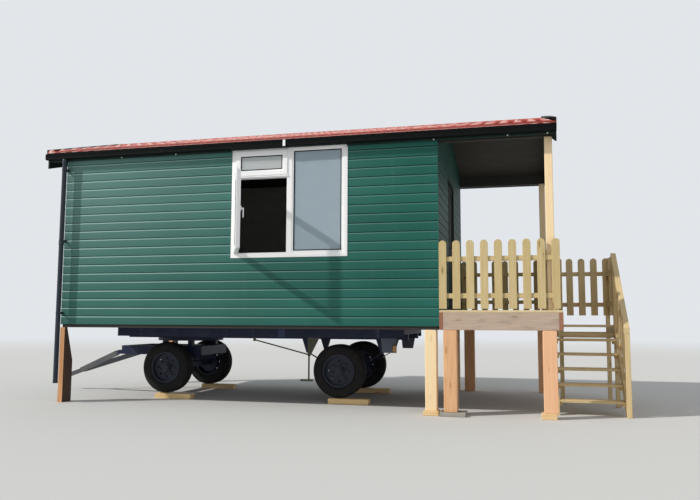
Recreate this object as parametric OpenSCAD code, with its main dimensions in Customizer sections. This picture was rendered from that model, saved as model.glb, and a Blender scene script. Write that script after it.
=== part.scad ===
// Timber hut on a four-wheel wagon chassis, with a covered porch, fences and a side stair.
// Millimetres, +X along the hut towards the porch, +Y towards the back, +Z up, origin on the
// ground in the middle of the whole object.

/* [Hut body] */
// Length of the room over the cladding
hut_length = 5600; // [4000:50:7500]
// Depth of the hut over the cladding
hut_depth = 3450; // [3000:50:4200]
// Thickness of a wall with its cladding
wall_t = 90; // [70:5:140]
// Thickness of the cladding boards
cladding_t = 20; // [14:1:30]
// Height of the lowest cladding edge
cladding_low = 1135; // [1105:5:1250]
// Height of the roof underside at the outer wall faces
eave_h = 3700; // [3500:25:4100]

/* [Floor] */
// Height of the underside of the floor beams
floor_low = 1090; // [1060:5:1100]
// Thickness of the floor beams and the porch beams
beam_t = 50; // [38:2:75]
// Thickness of floor and deck boards
board_t = 30; // [20:2:40]
// Spacing of the floor joists
joist_pitch = 600; // [400:50:800]

/* [Roof] */
// Pitch of the roof in degrees
roof_pitch = 16.5; // [10:0.5:25]
// Thickness of the boarded roof deck, square to the slope
roof_deck_t = 30; // [20:2:80]
// Play between the wall tops, the roof deck and the roofing sheet
roof_seat = 0.05; // [0.05:0.05:0.5]
// Thickness of the roofing sheet, square to the slope
sheet_t = 12; // [8:1:20]
// Step of one tile course at its lower edge
course_step = 16; // [8:1:24]
// Tile courses on each slope
courses = 6; // [4:1:9]
// Reach of the rafters past the wall
rafter_reach = 40; // [30:5:80]
// Reach of the roofing sheet past the fascia board
sheet_reach = 38; // [20:2:50]
// Reach of the roof past the left wall
verge_left = 290; // [150:10:500]
// Distance of the roof end short of the porch end
verge_short = 30; // [20:5:60]
// Height of the barge boards
barge_h = 240; // [180:5:320]
// Thickness of the barge and fascia boards
barge_t = 20; // [15:1:30]
// Width of the flashing on the verge
flashing_w = 130; // [80:5:180]
// Height of the flashing over the ridge cap
flashing_up = 21; // [8:1:40]
// Thickness of the flashing
flashing_t = 3; // [2:0.5:5]
// Lap of the flashing down the barge board
flashing_side = 60; // [30:5:100]
// Width of each wing of the ridge cap
ridge_wing = 170; // [120:10:250]
// Height of the ridge cap over the tiles
ridge_up = 20; // [5:1:40]
// Thickness of the ridge cap
ridge_t = 4; // [3:1:8]

/* [Eaves] */
// Height of the fascia board
fascia_h = 142; // [120:2:200]
// Width of the gutter
gutter_w = 76; // [60:2:110]
// Height of the gutter
gutter_h = 90; // [70:5:105]
// Thickness of the gutter wall
gutter_t = 4; // [3:0.5:6]
// Diameter of the downpipe
downpipe_d = 68; // [50:1:75]
// Middle of the downpipe from the left wall face
downpipe_x = 24; // [20:2:80]
// Height of the open end of the downpipe over the ground
downpipe_low = 285; // [100:5:500]
// Height of a pipe clip
clip_h = 28; // [20:2:40]
// Distance of the outer clips from the ends of the wall
clip_in = 150; // [80:10:250]

/* [Window] */
// Distance of the window from the left wall face
window_x = 2686; // [1800:10:2900]
// Width of the window frame
window_w = 1690; // [1400:10:1900]
// Height of the lower edge of the window frame
window_low = 2068; // [1900:5:2300]
// Distance of the window's head under the eave
head_drop = 60; // [30:5:300]
// Face width of the outer frame
frame_w = 70; // [50:2:90]
// Depth of the window frame
frame_d = 70; // [50:2:85]
// Reach of the window frame in front of the cladding
frame_proud = 8; // [0:1:15]
// Middle of the mullion from the left edge of the frame
mullion_x = 859; // [700:1:1000]
// Face width of the mullion
mullion_w = 80; // [60:2:100]
// Face width of the transom
transom_w = 50; // [40:2:80]
// Height of the opening of the top light
top_light_h = 335; // [250:5:450]
// Face width of a sash
sash_w = 66; // [50:1:80]
// Depth of a sash behind its lip
sash_d = 45; // [35:1:55]
// Lap of the sash lip over the frame
sash_lap = 12; // [8:1:18]
// Thickness of the sash lip
sash_lip = 14; // [10:1:20]
// Play between a sash and its opening
sash_play = 4; // [3:1:6]
// Opening angle of the side-hung sash
sash_open = 65; // [20:5:85]
// Thickness of a sealed pane
pane_t = 22; // [14:1:24]
// Length of the stay bars of the open sash
stay_l = 170; // [100:10:220]
// Width of the stay bars
stay_w = 14; // [10:1:20]
// Distance of the stay pivots from the edge of the light
stay_in = 60; // [40:5:90]
// Angle between the stay bars and the open sash
stay_turn = 40; // [20:5:55]
// Height of the handle's plate
handle_h = 70; // [50:5:90]
// Width of the handle's plate
handle_w = 26; // [22:2:36]
// Thickness of the handle's plate
handle_t = 12; // [8:1:16]
// Reach of the lever from the sash
lever_out = 46; // [35:1:60]
// Length of the lever under its pivot
lever_l = 120; // [90:5:150]
// Width of the lever
lever_w = 20; // [14:2:22]
// Thickness of the lever
lever_t = 16; // [10:1:20]

/* [Door] */
// Width of the doorway
door_w = 880; // [760:10:1000]
// Height of the doorway
door_h = 2000; // [1900:10:2100]
// Middle of the doorway from the middle of the gable wall
door_y = 0; // [-300:10:300]
// Face width of the door frame
door_frame_w = 55; // [40:5:70]
// Thickness of the door leaf
door_t = 44; // [36:2:56]

/* [Porch] */
// Length of the porch
porch_length = 1540; // [1200:20:2000]
// Side of the square roof posts
roof_post = 98; // [80:2:130]
// Thickness of the eave beams
eave_beam_t = 60; // [45:5:90]
// Height of the eave beams over the porch
eave_beam_h = 130; // [100:5:180]

/* [Fences] */
// Width of a picket
picket_w = 100; // [80:5:120]
// Thickness of a picket
picket_t = 20; // [15:1:28]
// Length of a picket
picket_h = 890; // [700:10:1000]
// Gap between the deck and the pickets
picket_gap = 17; // [5:1:40]
// Distance of the porch fence from the end of the deck
fence_inset = 24; // [0:2:50]
// Side of the posts at the porch opening
fence_post = 60; // [45:5:80]
// Spacing of the pickets
picket_pitch = 180; // [150:5:220]
// Height of a fence rail
rail_h = 64; // [45:1:80]
// Thickness of a fence rail
rail_t = 38; // [30:2:50]
// Height of the lower rail over the picket ends
rail_low = 135; // [80:5:200]
// Height of the upper rail over the picket ends
rail_high = 613; // [450:5:700]
// Height of the landing pickets over the landing
landing_gap = 142; // [20:2:180]

/* [Stair] */
// Height of one step
riser = 192; // [180:1:200]
// Depth of one step
going = 208; // [200:2:250]
// Lap of a tread over the one below it
tread_lap = 17; // [10:1:40]
// Thickness of a tread
tread_t = 34; // [28:1:45]
// Width between the stair's outer faces
stair_w = 820; // [750:10:1000]
// Distance from the front of the porch to the landing
landing_y = 1550; // [1400:10:1700]
// Depth of the landing
landing_d = 890; // [800:10:1000]
// Thickness of a stringer
stringer_t = 40; // [35:1:48]
// Height of the stringer over the nosing line
stringer_up = 40; // [20:5:60]
// Depth of the stringer under the nosing line
stringer_down = 215; // [180:5:240]
// Side of the square newels and landing posts
newel = 60; // [50:2:80]
// Distance of the first newel in front of the lowest tread
newel_gap = 40; // [10:10:160]
// Height of the handrail over the nosing line
handrail_up = 1030; // [900:10:1150]
// Height of the handrail's own section
handrail_h = 60; // [45:5:80]
// Width of the handrail
handrail_w = 70; // [62:2:90]
// Lap of the railing pickets over the stringer
picket_lap = 90; // [40:5:150]
// Distance of the left landing post from the porch
landing_post_x = 60; // [20:5:150]
// Pickets in the landing fence
landing_pickets = 4; // [3:1:4]
// Height of a landing bearer
bearer_h = 150; // [100:10:200]
// Height of the low cross pieces under the landing
cross_low = 70; // [50:5:95]
// Side of a tread cleat
cleat = 38; // [25:1:45]
// Distance of a cleat behind the front of its tread, and short of the stringer's lower edge
cleat_in = 20; // [10:5:40]

/* [Legs] */
// Width of the plank legs at the left end
plank_leg_w = 75; // [60:5:100]
// Depth of the plank legs at the ground
plank_leg_d = 210; // [150:5:260]
// Depth of the plank legs at the top
plank_leg_top = 60; // [50:5:120]
// Height where the plank legs start to narrow
plank_leg_cut = 600; // [400:20:800]
// Side of the hut legs at the porch end
hut_leg = 150; // [120:5:180]
// Distance of those legs from the end of the hut
hut_leg_inset = 38; // [20:2:80]
// Side of the porch legs
porch_leg = 172; // [140:2:200]
// Thickness of the timber pad under the hut legs
pad_t = 60; // [30:5:80]
// Side of that timber pad
pad_w = 200; // [180:5:240]
// Thickness of the paver under the porch leg next to the hut
paver_t = 50; // [30:5:70]
// Width of that paver
paver_w = 330; // [250:10:400]
// Depth of that paver
paver_d = 300; // [250:10:400]
// Reach of that paver in front of the leg
paver_front = 60; // [20:5:100]
// Thickness of the block under the porch leg at the stair
block_t = 70; // [40:5:90]
// Width of that block
block_w = 186; // [160:2:220]
// Shift of that block from the middle of the leg
block_shift = 25; // [0:5:40]

/* [Wagon] */
// Distance of the chassis end from the left wall face
chassis_x = 420; // [200:10:500]
// Length of the chassis
chassis_l = 4580; // [4300:20:5000]
// Height of the side rails
side_rail_h = 140; // [120:5:160]
// Flange width of the side rails
side_rail_w = 60; // [40:5:80]
// Web thickness of the rails
rail_web = 8; // [6:1:12]
// Height of the cross members
cross_h = 80; // [60:5:80]
// Cross members in the chassis
cross_count = 6; // [4:1:8]
// Height of the main beams
main_beam_h = 80; // [60:5:100]
// Width of the cross members
cross_w = 60; // [40:5:80]
// Width of the main beams
main_beam_w = 80; // [60:5:100]
// Distance of the main beams from the middle line
main_beam_y = 490; // [450:5:500]
// Front axle from the left wall face
front_axle_x = 1255; // [1200:5:1500]
// Distance of the rear axle in front of the chassis end
rear_overhang = 970; // [700:5:1100]
// Width over the tyres
track_out = 1740; // [1700:10:1900]
// Side of the square axle tubes
axle_w = 80; // [60:5:100]
// Length of the rear springs between their eyes
rear_spring_l = 1150; // [1000:10:1200]
// Length of the front springs between their eyes
front_spring_l = 700; // [600:10:740]
// Inner radius of the rear springs' bend
rear_spring_r = 960; // [900:10:1100]
// Inner radius of the front springs' bend
front_spring_r = 820; // [780:10:1000]
// Width of the springs
spring_w = 56; // [40:2:60]
// Leaves in each spring
leaves = 3; // [2:1:4]
// Thickness of one spring leaf
leaf_t = 10; // [7:1:12]
// Radius of a spring eye pin
spring_pin_r = 14; // [10:1:16]
// Thickness of a spring hanger plate
hanger_t = 8; // [6:1:10]
// Half width of a rear hanger at its top
rear_hanger = 85; // [60:5:100]
// Half width of a front hanger at its top
front_hanger = 50; // [35:5:60]
// Rim of a hanger around its eye pin
hanger_rim = 4; // [3:1:8]
// Radius of the brake rods
rod_r = 10; // [7:1:14]
// Distance of the brake bracket in front of the rear axle
brake_x = 455; // [450:5:500]
// Length of the brake pull rod along the chassis
brake_l = 860; // [700:10:1000]
// Drop of the brake pull rod
brake_drop = 212; // [150:2:260]
// Drop of the brake bracket under the rail
brake_down = 270; // [240:5:300]
// Width of the brake bracket under the rail
brake_w = 180; // [150:5:220]
// Width of its lower end and of the front bracket
brake_arm = 40; // [30:2:50]
// Lap of both brackets over the ends of the pull rod
rod_lap = 20; // [15:1:30]
// Height of the underside of the brake foot
brake_foot_z = 315; // [240:5:390]
// Thickness of the brake foot
brake_foot_t = 25; // [15:1:35]
// Width of the brake foot
brake_foot_w = 50; // [40:2:60]
// Length of the brake foot
brake_foot_l = 180; // [140:5:220]
// Shift of the brake foot towards the drawbar
brake_foot_in = 35; // [0:5:60]
// Distance of the tail bracket from the chassis end
tail_x = 100; // [40:5:200]
// Height of the tail bracket
tail_h = 205; // [120:5:240]
// Width of the tail bracket
tail_w = 240; // [160:10:280]
// Slant of the tail bracket's front edge
tail_slant = 25; // [10:5:40]
// Slant of its rear edge
tail_cut = 40; // [20:5:60]
// Outer diameter of the turntable ring
ring_d = 1060; // [1020:10:1100]
// Face width of the turntable ring
ring_w = 70; // [50:5:90]
// Thickness of each turntable ring
ring_t = 25; // [15:1:25]
// Gap between the two turntable rings
ring_gap = 0.5; // [0.3:0.1:1]
// Radius of the kingpin
kingpin_r = 25; // [20:1:35]
// Reach of the kingpin under the bolster
kingpin_tail = 10; // [5:1:30]
// Radial play of every pin and spindle
pin_play = 0.05; // [0.02:0.01:0.09]
// Height of the bogie side beams
bogie_h = 140; // [110:5:150]
// Width of the bogie side beams
bogie_w = 80; // [60:5:100]
// Distance of the bogie side beams from the middle line
bogie_y = 440; // [420:5:460]
// Height of the underside of the bogie beams
bogie_low = 645; // [635:5:660]
// Reach of the bogie behind the front axle
bogie_tail = 420; // [400:10:500]
// Height of the bored bolster
bolster_h = 80; // [60:5:100]
// Width of the bored bolster
bolster_w = 200; // [150:10:260]

/* [Wheels] */
// Outer radius of the tyre
tyre_r = 387; // [370:1:395]
// Width of the tyre
tyre_w = 215; // [190:5:230]
// Radius where the tyre meets the rim
bead_r = 222; // [200:1:235]
// Radius of the tyre's shoulder
shoulder_r = 40; // [25:1:50]
// Distance of the rim flange inside the tyre's side
bead_in = 22; // [18:1:30]
// Thickness of the tyre's wall
tyre_wall = 16; // [12:1:22]
// Thickness of the rim and its disc
rim_t = 7; // [5:1:10]
// Radius of the rim flange
flange_r = 236; // [228:1:250]
// Distance of the disc from the middle of the wheel
disc_y = 28; // [0:2:50]
// Radius of the hub
hub_r = 70; // [60:1:85]
// Length of the hub
hub_len = 120; // [100:2:140]
// Radius of the hub cap
cap_r = 46; // [40:1:55]
// Length of the hub cap
cap_l = 30; // [15:1:45]
// Gap between the end of a spindle and its hub cap
spindle_gap = 10; // [5:1:20]
// Radius of the spindle
spindle_r = 30; // [25:1:38]
// Hand holes in each disc
hand_holes = 8; // [5:1:10]
// Radius of a hand hole
hand_hole_r = 19; // [14:1:22]
// Side play of a hub on its axle
hub_play = 1; // [0.5:0.5:2]
// Gap between a tyre and its plank
tyre_gap = 5; // [5:1:12]
// Length of a plank under a wheel
plank_l = 604; // [450:10:700]
// Depth of that plank
plank_w = 140; // [120:10:280]
// Distance from the middle of the tyre to the front of that plank
plank_front = 125; // [100:5:140]
// Thickness of that plank
plank_t = 80; // [60:5:90]
// Shift of the plank from the wheel towards the porch
plank_shift = 150; // [0:10:200]

/* [Drawbar] */
// Reach of the drawbar past the left wall face
drawbar_reach = 1150; // [900:10:1400]
// Distance of the drawbar hinge from the left wall face
hinge_x = 210; // [150:10:400]
// Height of the drawbar hinge
hinge_h = 680; // [677:1:700]
// Height of the towing eye over the ground
eye_h = 230; // [100:5:250]
// Outer radius of the towing eye
eye_r = 62; // [50:1:75]
// Radius of the hole in the towing eye
eye_hole_r = 30; // [20:1:38]
// Width of a drawbar arm
arm_w = 50; // [40:2:60]
// Height of a drawbar arm
arm_h = 80; // [60:5:100]
// Radius of the hinge pins
hinge_pin_r = 16; // [12:1:20]
// Thickness of a hinge lug
lug_t = 15; // [10:1:20]
// Outer radius of the hinge lugs and bushes
lug_r = 32; // [28:1:36]
// Distance of the hinge from the bogie
lug_reach = 50; // [42:2:70]
// Side play of a bush between its lugs
lug_play = 1; // [0.5:0.5:2]
// Length of the straight neck of a drawbar arm
neck_l = 60; // [50:5:90]
// Length of the shank behind the towing eye
shank_l = 330; // [250:10:400]
// Width of the shank
shank_w = 70; // [50:5:90]
// Reach of the shank between the arms
shank_in = 82; // [60:2:100]
// Lap of the shank on the towing eye
eye_lap = 15; // [10:1:20]
// Thickness of the towing eye
eye_t = 40; // [30:2:50]

/* [Hidden] */
half = hut_depth / 2;
front_y = -half;
steps = 7;
deck_top = steps * riser;
board_low = deck_top - board_t;
landing_top = deck_top - riser;
left_x = (drawbar_reach - hut_length - porch_length - stair_w) / 2;
right_x = left_x + hut_length;
porch_x = right_x + porch_length;
stair_x = porch_x + stair_w;
tan_p = tan(roof_pitch);
deck_v = roof_deck_t / cos(roof_pitch);
sheet_v = deck_v + sheet_t / cos(roof_pitch);
tooth_v = sheet_v + course_step / cos(roof_pitch);
rafter_y = half + rafter_reach;
fascia_y = rafter_y + barge_t;
sheet_y = fascia_y + sheet_reach;
course = sheet_y / courses;
cap_v = tooth_v + ridge_up;
verge_v = cap_v + ridge_t + flashing_up;
gutter_y = fascia_y + gutter_w;
pipe_y = (fascia_y + gutter_y) / 2;
roof_x0 = left_x - verge_left;
roof_x1 = porch_x - verge_short;
gutter_top = under(fascia_y);
gutter_low = gutter_top - gutter_h;
fascia_low = gutter_top + deck_v - fascia_h;
win_x0 = left_x + window_x;
win_x1 = win_x0 + window_w;
win_z0 = window_low;
win_z1 = eave_h - head_drop;
win_y = front_y - frame_proud;
light_x0 = win_x0 + frame_w;
light_x1 = win_x0 + mullion_x - mullion_w / 2;
pane_x0 = win_x0 + mullion_x + mullion_w / 2;
pane_x1 = win_x1 - frame_w;
head_z = win_z1 - frame_w;
transom_z1 = head_z - top_light_h;
transom_z0 = transom_z1 - transom_w;
sill_z = win_z0 + frame_w;
post_top = eave_h - eave_beam_h;
post_x1 = porch_x - fence_inset - picket_t - rail_t;
rail_y = front_y + picket_t + rail_t;
slope = riser / going;
landing_y0 = front_y + landing_y;
landing_y1 = landing_y0 + landing_d;
newel_y0 = landing_y0 - (steps - 2) * going - newel_gap - newel;
newel_y1 = landing_y0 - newel;
tread_d = going + tread_lap;
axle_z = plank_t + tyre_gap + tyre_r;
axle_f = left_x + front_axle_x;
wheel_y = (track_out - tyre_w) / 2;
rail_out = track_out / 2;
chassis_x0 = left_x + chassis_x;
chassis_x1 = chassis_x0 + chassis_l;
axle_r = chassis_x1 - rear_overhang;
main_top = floor_low - rail_web - cross_h;
main_low = main_top - main_beam_h;
ring_low = main_low - ring_t;
lower_ring_top = ring_low - ring_gap;
lower_ring_low = lower_ring_top - ring_t;
bogie_top = bogie_low + bogie_h;
drawbar_x = left_x + hinge_x;
bogie_x0 = drawbar_x + lug_reach;
bogie_x1 = axle_f + bogie_tail;
eye_x = left_x - drawbar_reach + eye_r;
hub_in = wheel_y - hub_len / 2 - hub_play;
hut_leg_x = right_x - hut_leg_inset - hut_leg;
porch_leg_x0 = right_x + beam_t;
porch_leg_x1 = post_x1 - porch_leg;
sash_front = win_y - (light_x1 - light_x0 + 2 * sash_lap) * sin(sash_open) - sash_lip * cos(sash_open);
mid_y = (gutter_y + sash_front) / 2;
over = 1;
leaf_steps = 16;
shoulder_steps = 6;
$fn = 96;

// Height of the roof underside at a distance from the middle line
function under(y) = eave_h + (half - abs(y)) * tan_p;

// Height of the nosing line at a place along the stair
function nosing(y) = riser + (y - landing_y0 + (steps - 2) * going) * slope;

// Points of an arc in an outline
function arc(cx, cy, r, a0, a1, n) =
  [for (i = [0:n]) let (a = a0 + (a1 - a0) * i / n) [cx + r * cos(a), cy + r * sin(a)]];

// Extrudes an outline drawn in Y and Z along X
module along_x(x0, x1) {
  translate([x0, 0, 0])
    rotate([90, 0, 90])
      linear_extrude(x1 - x0)
        children();
}

// Extrudes an outline drawn in X and Z along Y
module along_y(y0, y1) {
  translate([0, y1, 0])
    rotate([90, 0, 0])
      linear_extrude(y1 - y0)
        children();
}

module block(x0, x1, y0, y1, z0, z1) {
  translate([x0, y0, z0])
    cube([x1 - x0, y1 - y0, z1 - z0]);
}

module both_sides() {
  children();
  mirror([0, 1, 0]) children();
}

// Moves a sub-part from the middle line of the hut to the middle of the whole object
module placed() {
  translate([0, -mid_y, 0]) children();
}

// Band over both slopes between two heights over the roof underside, out to y on each side
module gable_band(y, h0, h1) {
  polygon([
    [-y, under(y) + h0], [0, under(0) + h0], [y, under(y) + h0],
    [y, under(y) + h1], [0, under(0) + h1], [-y, under(y) + h1]
  ]);
}

// Floor beams round a rectangle, with joists across it
module beam_frame(x0, x1, y) {
  block(x0, x0 + beam_t, -y, y, floor_low, board_low);
  block(x1 - beam_t, x1, -y, y, floor_low, board_low);
  both_sides() block(x0 + beam_t, x1 - beam_t, -y, beam_t - y, floor_low, board_low);
  bays = ceil((x1 - x0 - beam_t) / joist_pitch);
  pitch = (x1 - x0 - beam_t) / bays;
  for (i = [1:bays - 1])
    block(x0 + i * pitch, x0 + i * pitch + beam_t, beam_t - y, y - beam_t, floor_low, board_low);
}

module floor_frame() {
  color("saddlebrown") beam_frame(left_x + cladding_t, right_x - cladding_t, half - cladding_t);
}

module hut_floor() {
  color("burlywood")
    block(left_x + cladding_t, right_x - cladding_t, cladding_t - half, half - cladding_t,
      board_low, deck_top);
}

// Front wall: cladding over the floor's edge, studs on the floor
module long_wall() {
  along_x(left_x, right_x)
    polygon([
      [-half, cladding_low], [cladding_t - half, cladding_low],
      [cladding_t - half, under(half - cladding_t)], [-half, under(half)]
    ]);
  along_x(left_x + cladding_t, right_x - cladding_t)
    polygon([
      [cladding_t - half, deck_top], [wall_t - half, deck_top],
      [wall_t - half, under(half - wall_t)], [cladding_t - half, under(half - cladding_t)]
    ]);
}

module front_wall() {
  color("seagreen")
    difference() {
      long_wall();
      block(win_x0, win_x1, -half - over, wall_t - half + over, win_z0, win_z1);
    }
}

module back_wall() {
  color("seagreen") mirror([0, 1, 0]) long_wall();
}

module gable_outline(y, z) {
  polygon([[-y, z], [y, z], [y, under(y)], [0, under(0)], [-y, under(y)]]);
}

module left_wall() {
  color("seagreen") {
    along_x(left_x, left_x + cladding_t) gable_outline(half - cladding_t, cladding_low);
    along_x(left_x + cladding_t, left_x + wall_t) gable_outline(half - wall_t, deck_top);
  }
}

module right_wall() {
  color("seagreen")
    difference() {
      union() {
        along_x(right_x - cladding_t, right_x) gable_outline(half - cladding_t, cladding_low);
        along_x(right_x - wall_t, right_x - cladding_t) gable_outline(half - wall_t, deck_top);
      }
      block(right_x - wall_t - over, right_x + over, door_y - door_w / 2, door_y + door_w / 2,
        deck_top, deck_top + door_h);
    }
}

module rectangle(x0, x1, z0, z1) {
  translate([x0, z0]) square([x1 - x0, z1 - z0]);
}

// Outer frame with a light at each side of the mullion and a top light over the left one
module window_frame() {
  color("white")
    along_y(win_y, win_y + frame_d)
      difference() {
        rectangle(win_x0, win_x1, win_z0, win_z1);
        rectangle(light_x0, light_x1, sill_z, transom_z0);
        rectangle(light_x0, light_x1, transom_z1, head_z);
        rectangle(pane_x0, pane_x1, sill_z, head_z);
      }
}

// Ring with one rectangle as its outside and another as its hole
module ring_outline(x0, x1, z0, z1, out, in) {
  difference() {
    rectangle(x0 - out, x1 + out, z0 - out, z1 + out);
    rectangle(x0 + in, x1 - in, z0 + in, z1 - in);
  }
}

// Closed sash in its opening, with a lip that laps over the frame
module sash(x0, x1, z0, z1) {
  along_y(win_y - sash_lip, win_y) ring_outline(x0, x1, z0, z1, sash_lap, sash_w);
  along_y(win_y, win_y + sash_d) ring_outline(x0, x1, z0, z1, -sash_play, sash_w);
}

module sash_pane(x0, x1, z0, z1) {
  block(x0 + sash_w, x1 - sash_w, win_y, win_y + pane_t, z0 + sash_w, z1 - sash_w);
}

module top_light_sash() {
  color("white") sash(light_x0, light_x1, transom_z1, head_z);
}

// Swings a sash outwards about the corner of its lip
module swung() {
  hinge = light_x0 - sash_lap;
  translate([hinge, win_y, 0])
    rotate([0, 0, -sash_open])
      translate([-hinge, -win_y, 0])
        children();
}

// Lever handle on the inner face of the free stile
module handle() {
  x = light_x1 - sash_w / 2;
  y = win_y + sash_d;
  z = (sill_z + transom_z0) / 2;
  w = lever_w / 2;
  block(x - handle_w / 2, x + handle_w / 2, y, y + handle_t, z - handle_h / 2, z + handle_h / 2);
  block(x - w, x + w, y + handle_t, y + lever_out, z - w, z + w);
  block(x - w, x + w, y + lever_out - lever_t, y + lever_out, z - lever_l, z - w);
}

// Flat bar from the frame to the sash, lying on the sill
module stay(z) {
  translate([light_x0 + stay_in, win_y + sash_d, z])
    rotate([0, 0, -sash_open - stay_turn])
      cube([stay_l, stay_w, sash_play]);
}

module open_casement() {
  color("white") {
    swung() {
      sash(light_x0, light_x1, sill_z, transom_z0);
      handle();
    }
    for (z = [sill_z, transom_z0 - sash_play]) stay(z);
  }
}

module window_glass() {
  color("lightsteelblue", 0.5) {
    block(pane_x0, pane_x1, win_y + pane_t, win_y + 2 * pane_t, sill_z, head_z);
    sash_pane(light_x0, light_x1, transom_z1, head_z);
    swung() sash_pane(light_x0, light_x1, sill_z, transom_z0);
  }
}

module door_frame() {
  y0 = door_y - door_w / 2;
  y1 = door_y + door_w / 2;
  color("white")
    difference() {
      block(right_x - wall_t, right_x, y0, y1, deck_top, deck_top + door_h);
      block(right_x - wall_t - over, right_x + over, y0 + door_frame_w, y1 - door_frame_w,
        deck_top - over, deck_top + door_h - door_frame_w);
    }
}

module door() {
  w = door_w / 2 - door_frame_w;
  color("white")
    block(right_x - cladding_t - door_t, right_x - cladding_t, door_y - w, door_y + w,
      deck_top, deck_top + door_h - door_frame_w);
}

module roof_deck() {
  color("burlywood")
    along_x(roof_x0 + barge_t, roof_x1 - barge_t)
      gable_band(rafter_y, roof_seat, deck_v);
}

// Tile-effect sheet with one tooth for each course
module roof_tiles() {
  low = deck_v + roof_seat;
  teeth = [
    for (i = [courses:-1:1])
      each [[-i * course, under(i * course) + tooth_v], [(1 - i) * course, under((i - 1) * course) + sheet_v]]
  ];
  color("indianred")
    along_x(roof_x0, roof_x1)
      polygon(concat([[0, under(0) + low], [-sheet_y, under(sheet_y) + low]], teeth));
}

module roof_tiles_front() {
  roof_tiles();
}

module roof_tiles_back() {
  mirror([0, 1, 0]) roof_tiles();
}

// Cap over the ridge with its edges turned down onto the top courses
module ridge_cap() {
  lip = sheet_v + (tooth_v - sheet_v) * ridge_wing / course + roof_seat;
  color("firebrick")
    along_x(roof_x0, roof_x1)
      difference() {
        gable_band(ridge_wing, lip, cap_v + ridge_t);
        gable_band(ridge_wing - ridge_t, 0, cap_v);
      }
}

// Flange over the tiles and a side wing down the barge board, at each end of each slope
module verge_flashings() {
  color("darkslategray")
    for (end = [0, 1])
      translate([end * (roof_x0 + roof_x1), 0, 0])
        mirror([end, 0, 0]) {
          along_x(roof_x0, roof_x0 + flashing_w) gable_band(sheet_y, verge_v - flashing_t, verge_v);
          along_x(roof_x0 - flashing_t, roof_x0) gable_band(sheet_y, deck_v - flashing_side, verge_v);
        }
}

module barge_boards() {
  color("darkslategray")
    for (x = [roof_x0, roof_x1 - barge_t])
      along_x(x, x + barge_t) gable_band(fascia_y, deck_v - barge_h, deck_v);
}

// Boards behind the gutters, the front one cut back over the window
module fascias() {
  color("darkslategray") {
    difference() {
      fascia();
      block(win_x0, win_x1, -fascia_y - over, over - rafter_y, fascia_low - over, gutter_low);
    }
    mirror([0, 1, 0]) fascia();
  }
}

module fascia() {
  along_x(roof_x0 + barge_t, roof_x1 - barge_t)
    polygon([
      [-fascia_y, fascia_low], [-rafter_y, fascia_low],
      [-rafter_y, under(rafter_y) + deck_v], [-fascia_y, under(fascia_y) + deck_v]
    ]);
}

// Open box gutter with closed ends and an outlet over its downpipe, on each side
module gutters() {
  color("darkslategray")
    both_sides()
      difference() {
        block(roof_x0, roof_x1, -gutter_y, -fascia_y, gutter_low, gutter_top);
        block(roof_x0 + gutter_t, roof_x1 - gutter_t, gutter_t - gutter_y, -fascia_y - gutter_t,
          gutter_low + gutter_t, gutter_top + over);
        translate([left_x + downpipe_x, -pipe_y, gutter_low - over])
          cylinder(d = downpipe_d - 2 * gutter_t, h = gutter_t + 2 * over);
      }
}

// Straight pipe from the gutter down the left corner, held by clips on the wall
module downpipes() {
  x = left_x + downpipe_x;
  y = pipe_y;
  h = gutter_low - downpipe_low;
  color("darkslategray")
    both_sides()
      difference() {
        union() {
          translate([x, -y, downpipe_low]) cylinder(d = downpipe_d, h = h);
          for (z = [cladding_low + clip_in, (cladding_low + fascia_low) / 2, fascia_low - clip_in])
            block(x - clip_h / 2, x + clip_h / 2, -y, -half, z, z + clip_h);
        }
        translate([x, -y, downpipe_low - over]) cylinder(d = downpipe_d - 2 * gutter_t, h = h + 2 * over);
      }
}

// Porch

module porch_frame() {
  color("rosybrown") beam_frame(right_x, porch_x, half);
}

module porch_deck() {
  color("burlywood") block(right_x, porch_x, -half, half, board_low, deck_top);
}

module roof_posts() {
  color("burlywood")
    both_sides() block(post_x1 - roof_post, post_x1, rail_y, rail_y + roof_post, deck_top, post_top);
}

module eave_beams() {
  y = -rail_y;
  color("burlywood")
    both_sides()
      along_x(right_x, roof_x1 - barge_t)
        polygon([
          [-y, post_top], [eave_beam_t - y, post_top],
          [eave_beam_t - y, under(y - eave_beam_t)], [-y, under(y)]
        ]);
}

// Fence from x = 0 to len with its pickets in front of two rails
module fence(len, lead = 0) {
  span = len - lead - picket_w;
  gaps = round(span / picket_pitch);
  for (i = [0:gaps])
    along_y(0, picket_t) {
      translate([lead + i * span / gaps, 0]) square([picket_w, picket_h - picket_w / 2]);
      translate([lead + i * span / gaps + picket_w / 2, picket_h - picket_w / 2]) circle(d = picket_w);
    }
  for (z = [rail_low, rail_high])
    block(0, len, picket_t, picket_t + rail_t, z, z + rail_h);
}

module porch_front_fence() {
  color("khaki") translate([right_x, front_y, deck_top + picket_gap]) fence(porch_x - fence_inset - right_x);
}

module porch_back_fence() {
  color("khaki") mirror([0, 1, 0]) porch_front_fence();
}

// Two runs along the end of the porch, with a post on each side of the way to the landing
module porch_side_fence() {
  x = porch_x - fence_inset;
  runs = [[rail_y, landing_y0], [landing_y1, -rail_y]];
  color("khaki") {
    for (r = runs)
      translate([x, r[0], deck_top + picket_gap]) rotate([0, 0, 90]) fence(r[1] - r[0]);
    for (y = [landing_y0 - fence_post, landing_y1])
      block(post_x1 - fence_post, post_x1, y, y + fence_post, deck_top, deck_top + picket_gap + picket_h);
  }
}

// Stair

// Height of the underside and the top of the handrail
function rail_under(y) = nosing(y) + handrail_up - handrail_h / cos(atan(slope));
function rail_top(y) = nosing(y) + handrail_up;

// Front of a tread, counted from the lowest one
function tread_y(k) = landing_y0 - (steps - 1 - k) * going;

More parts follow.
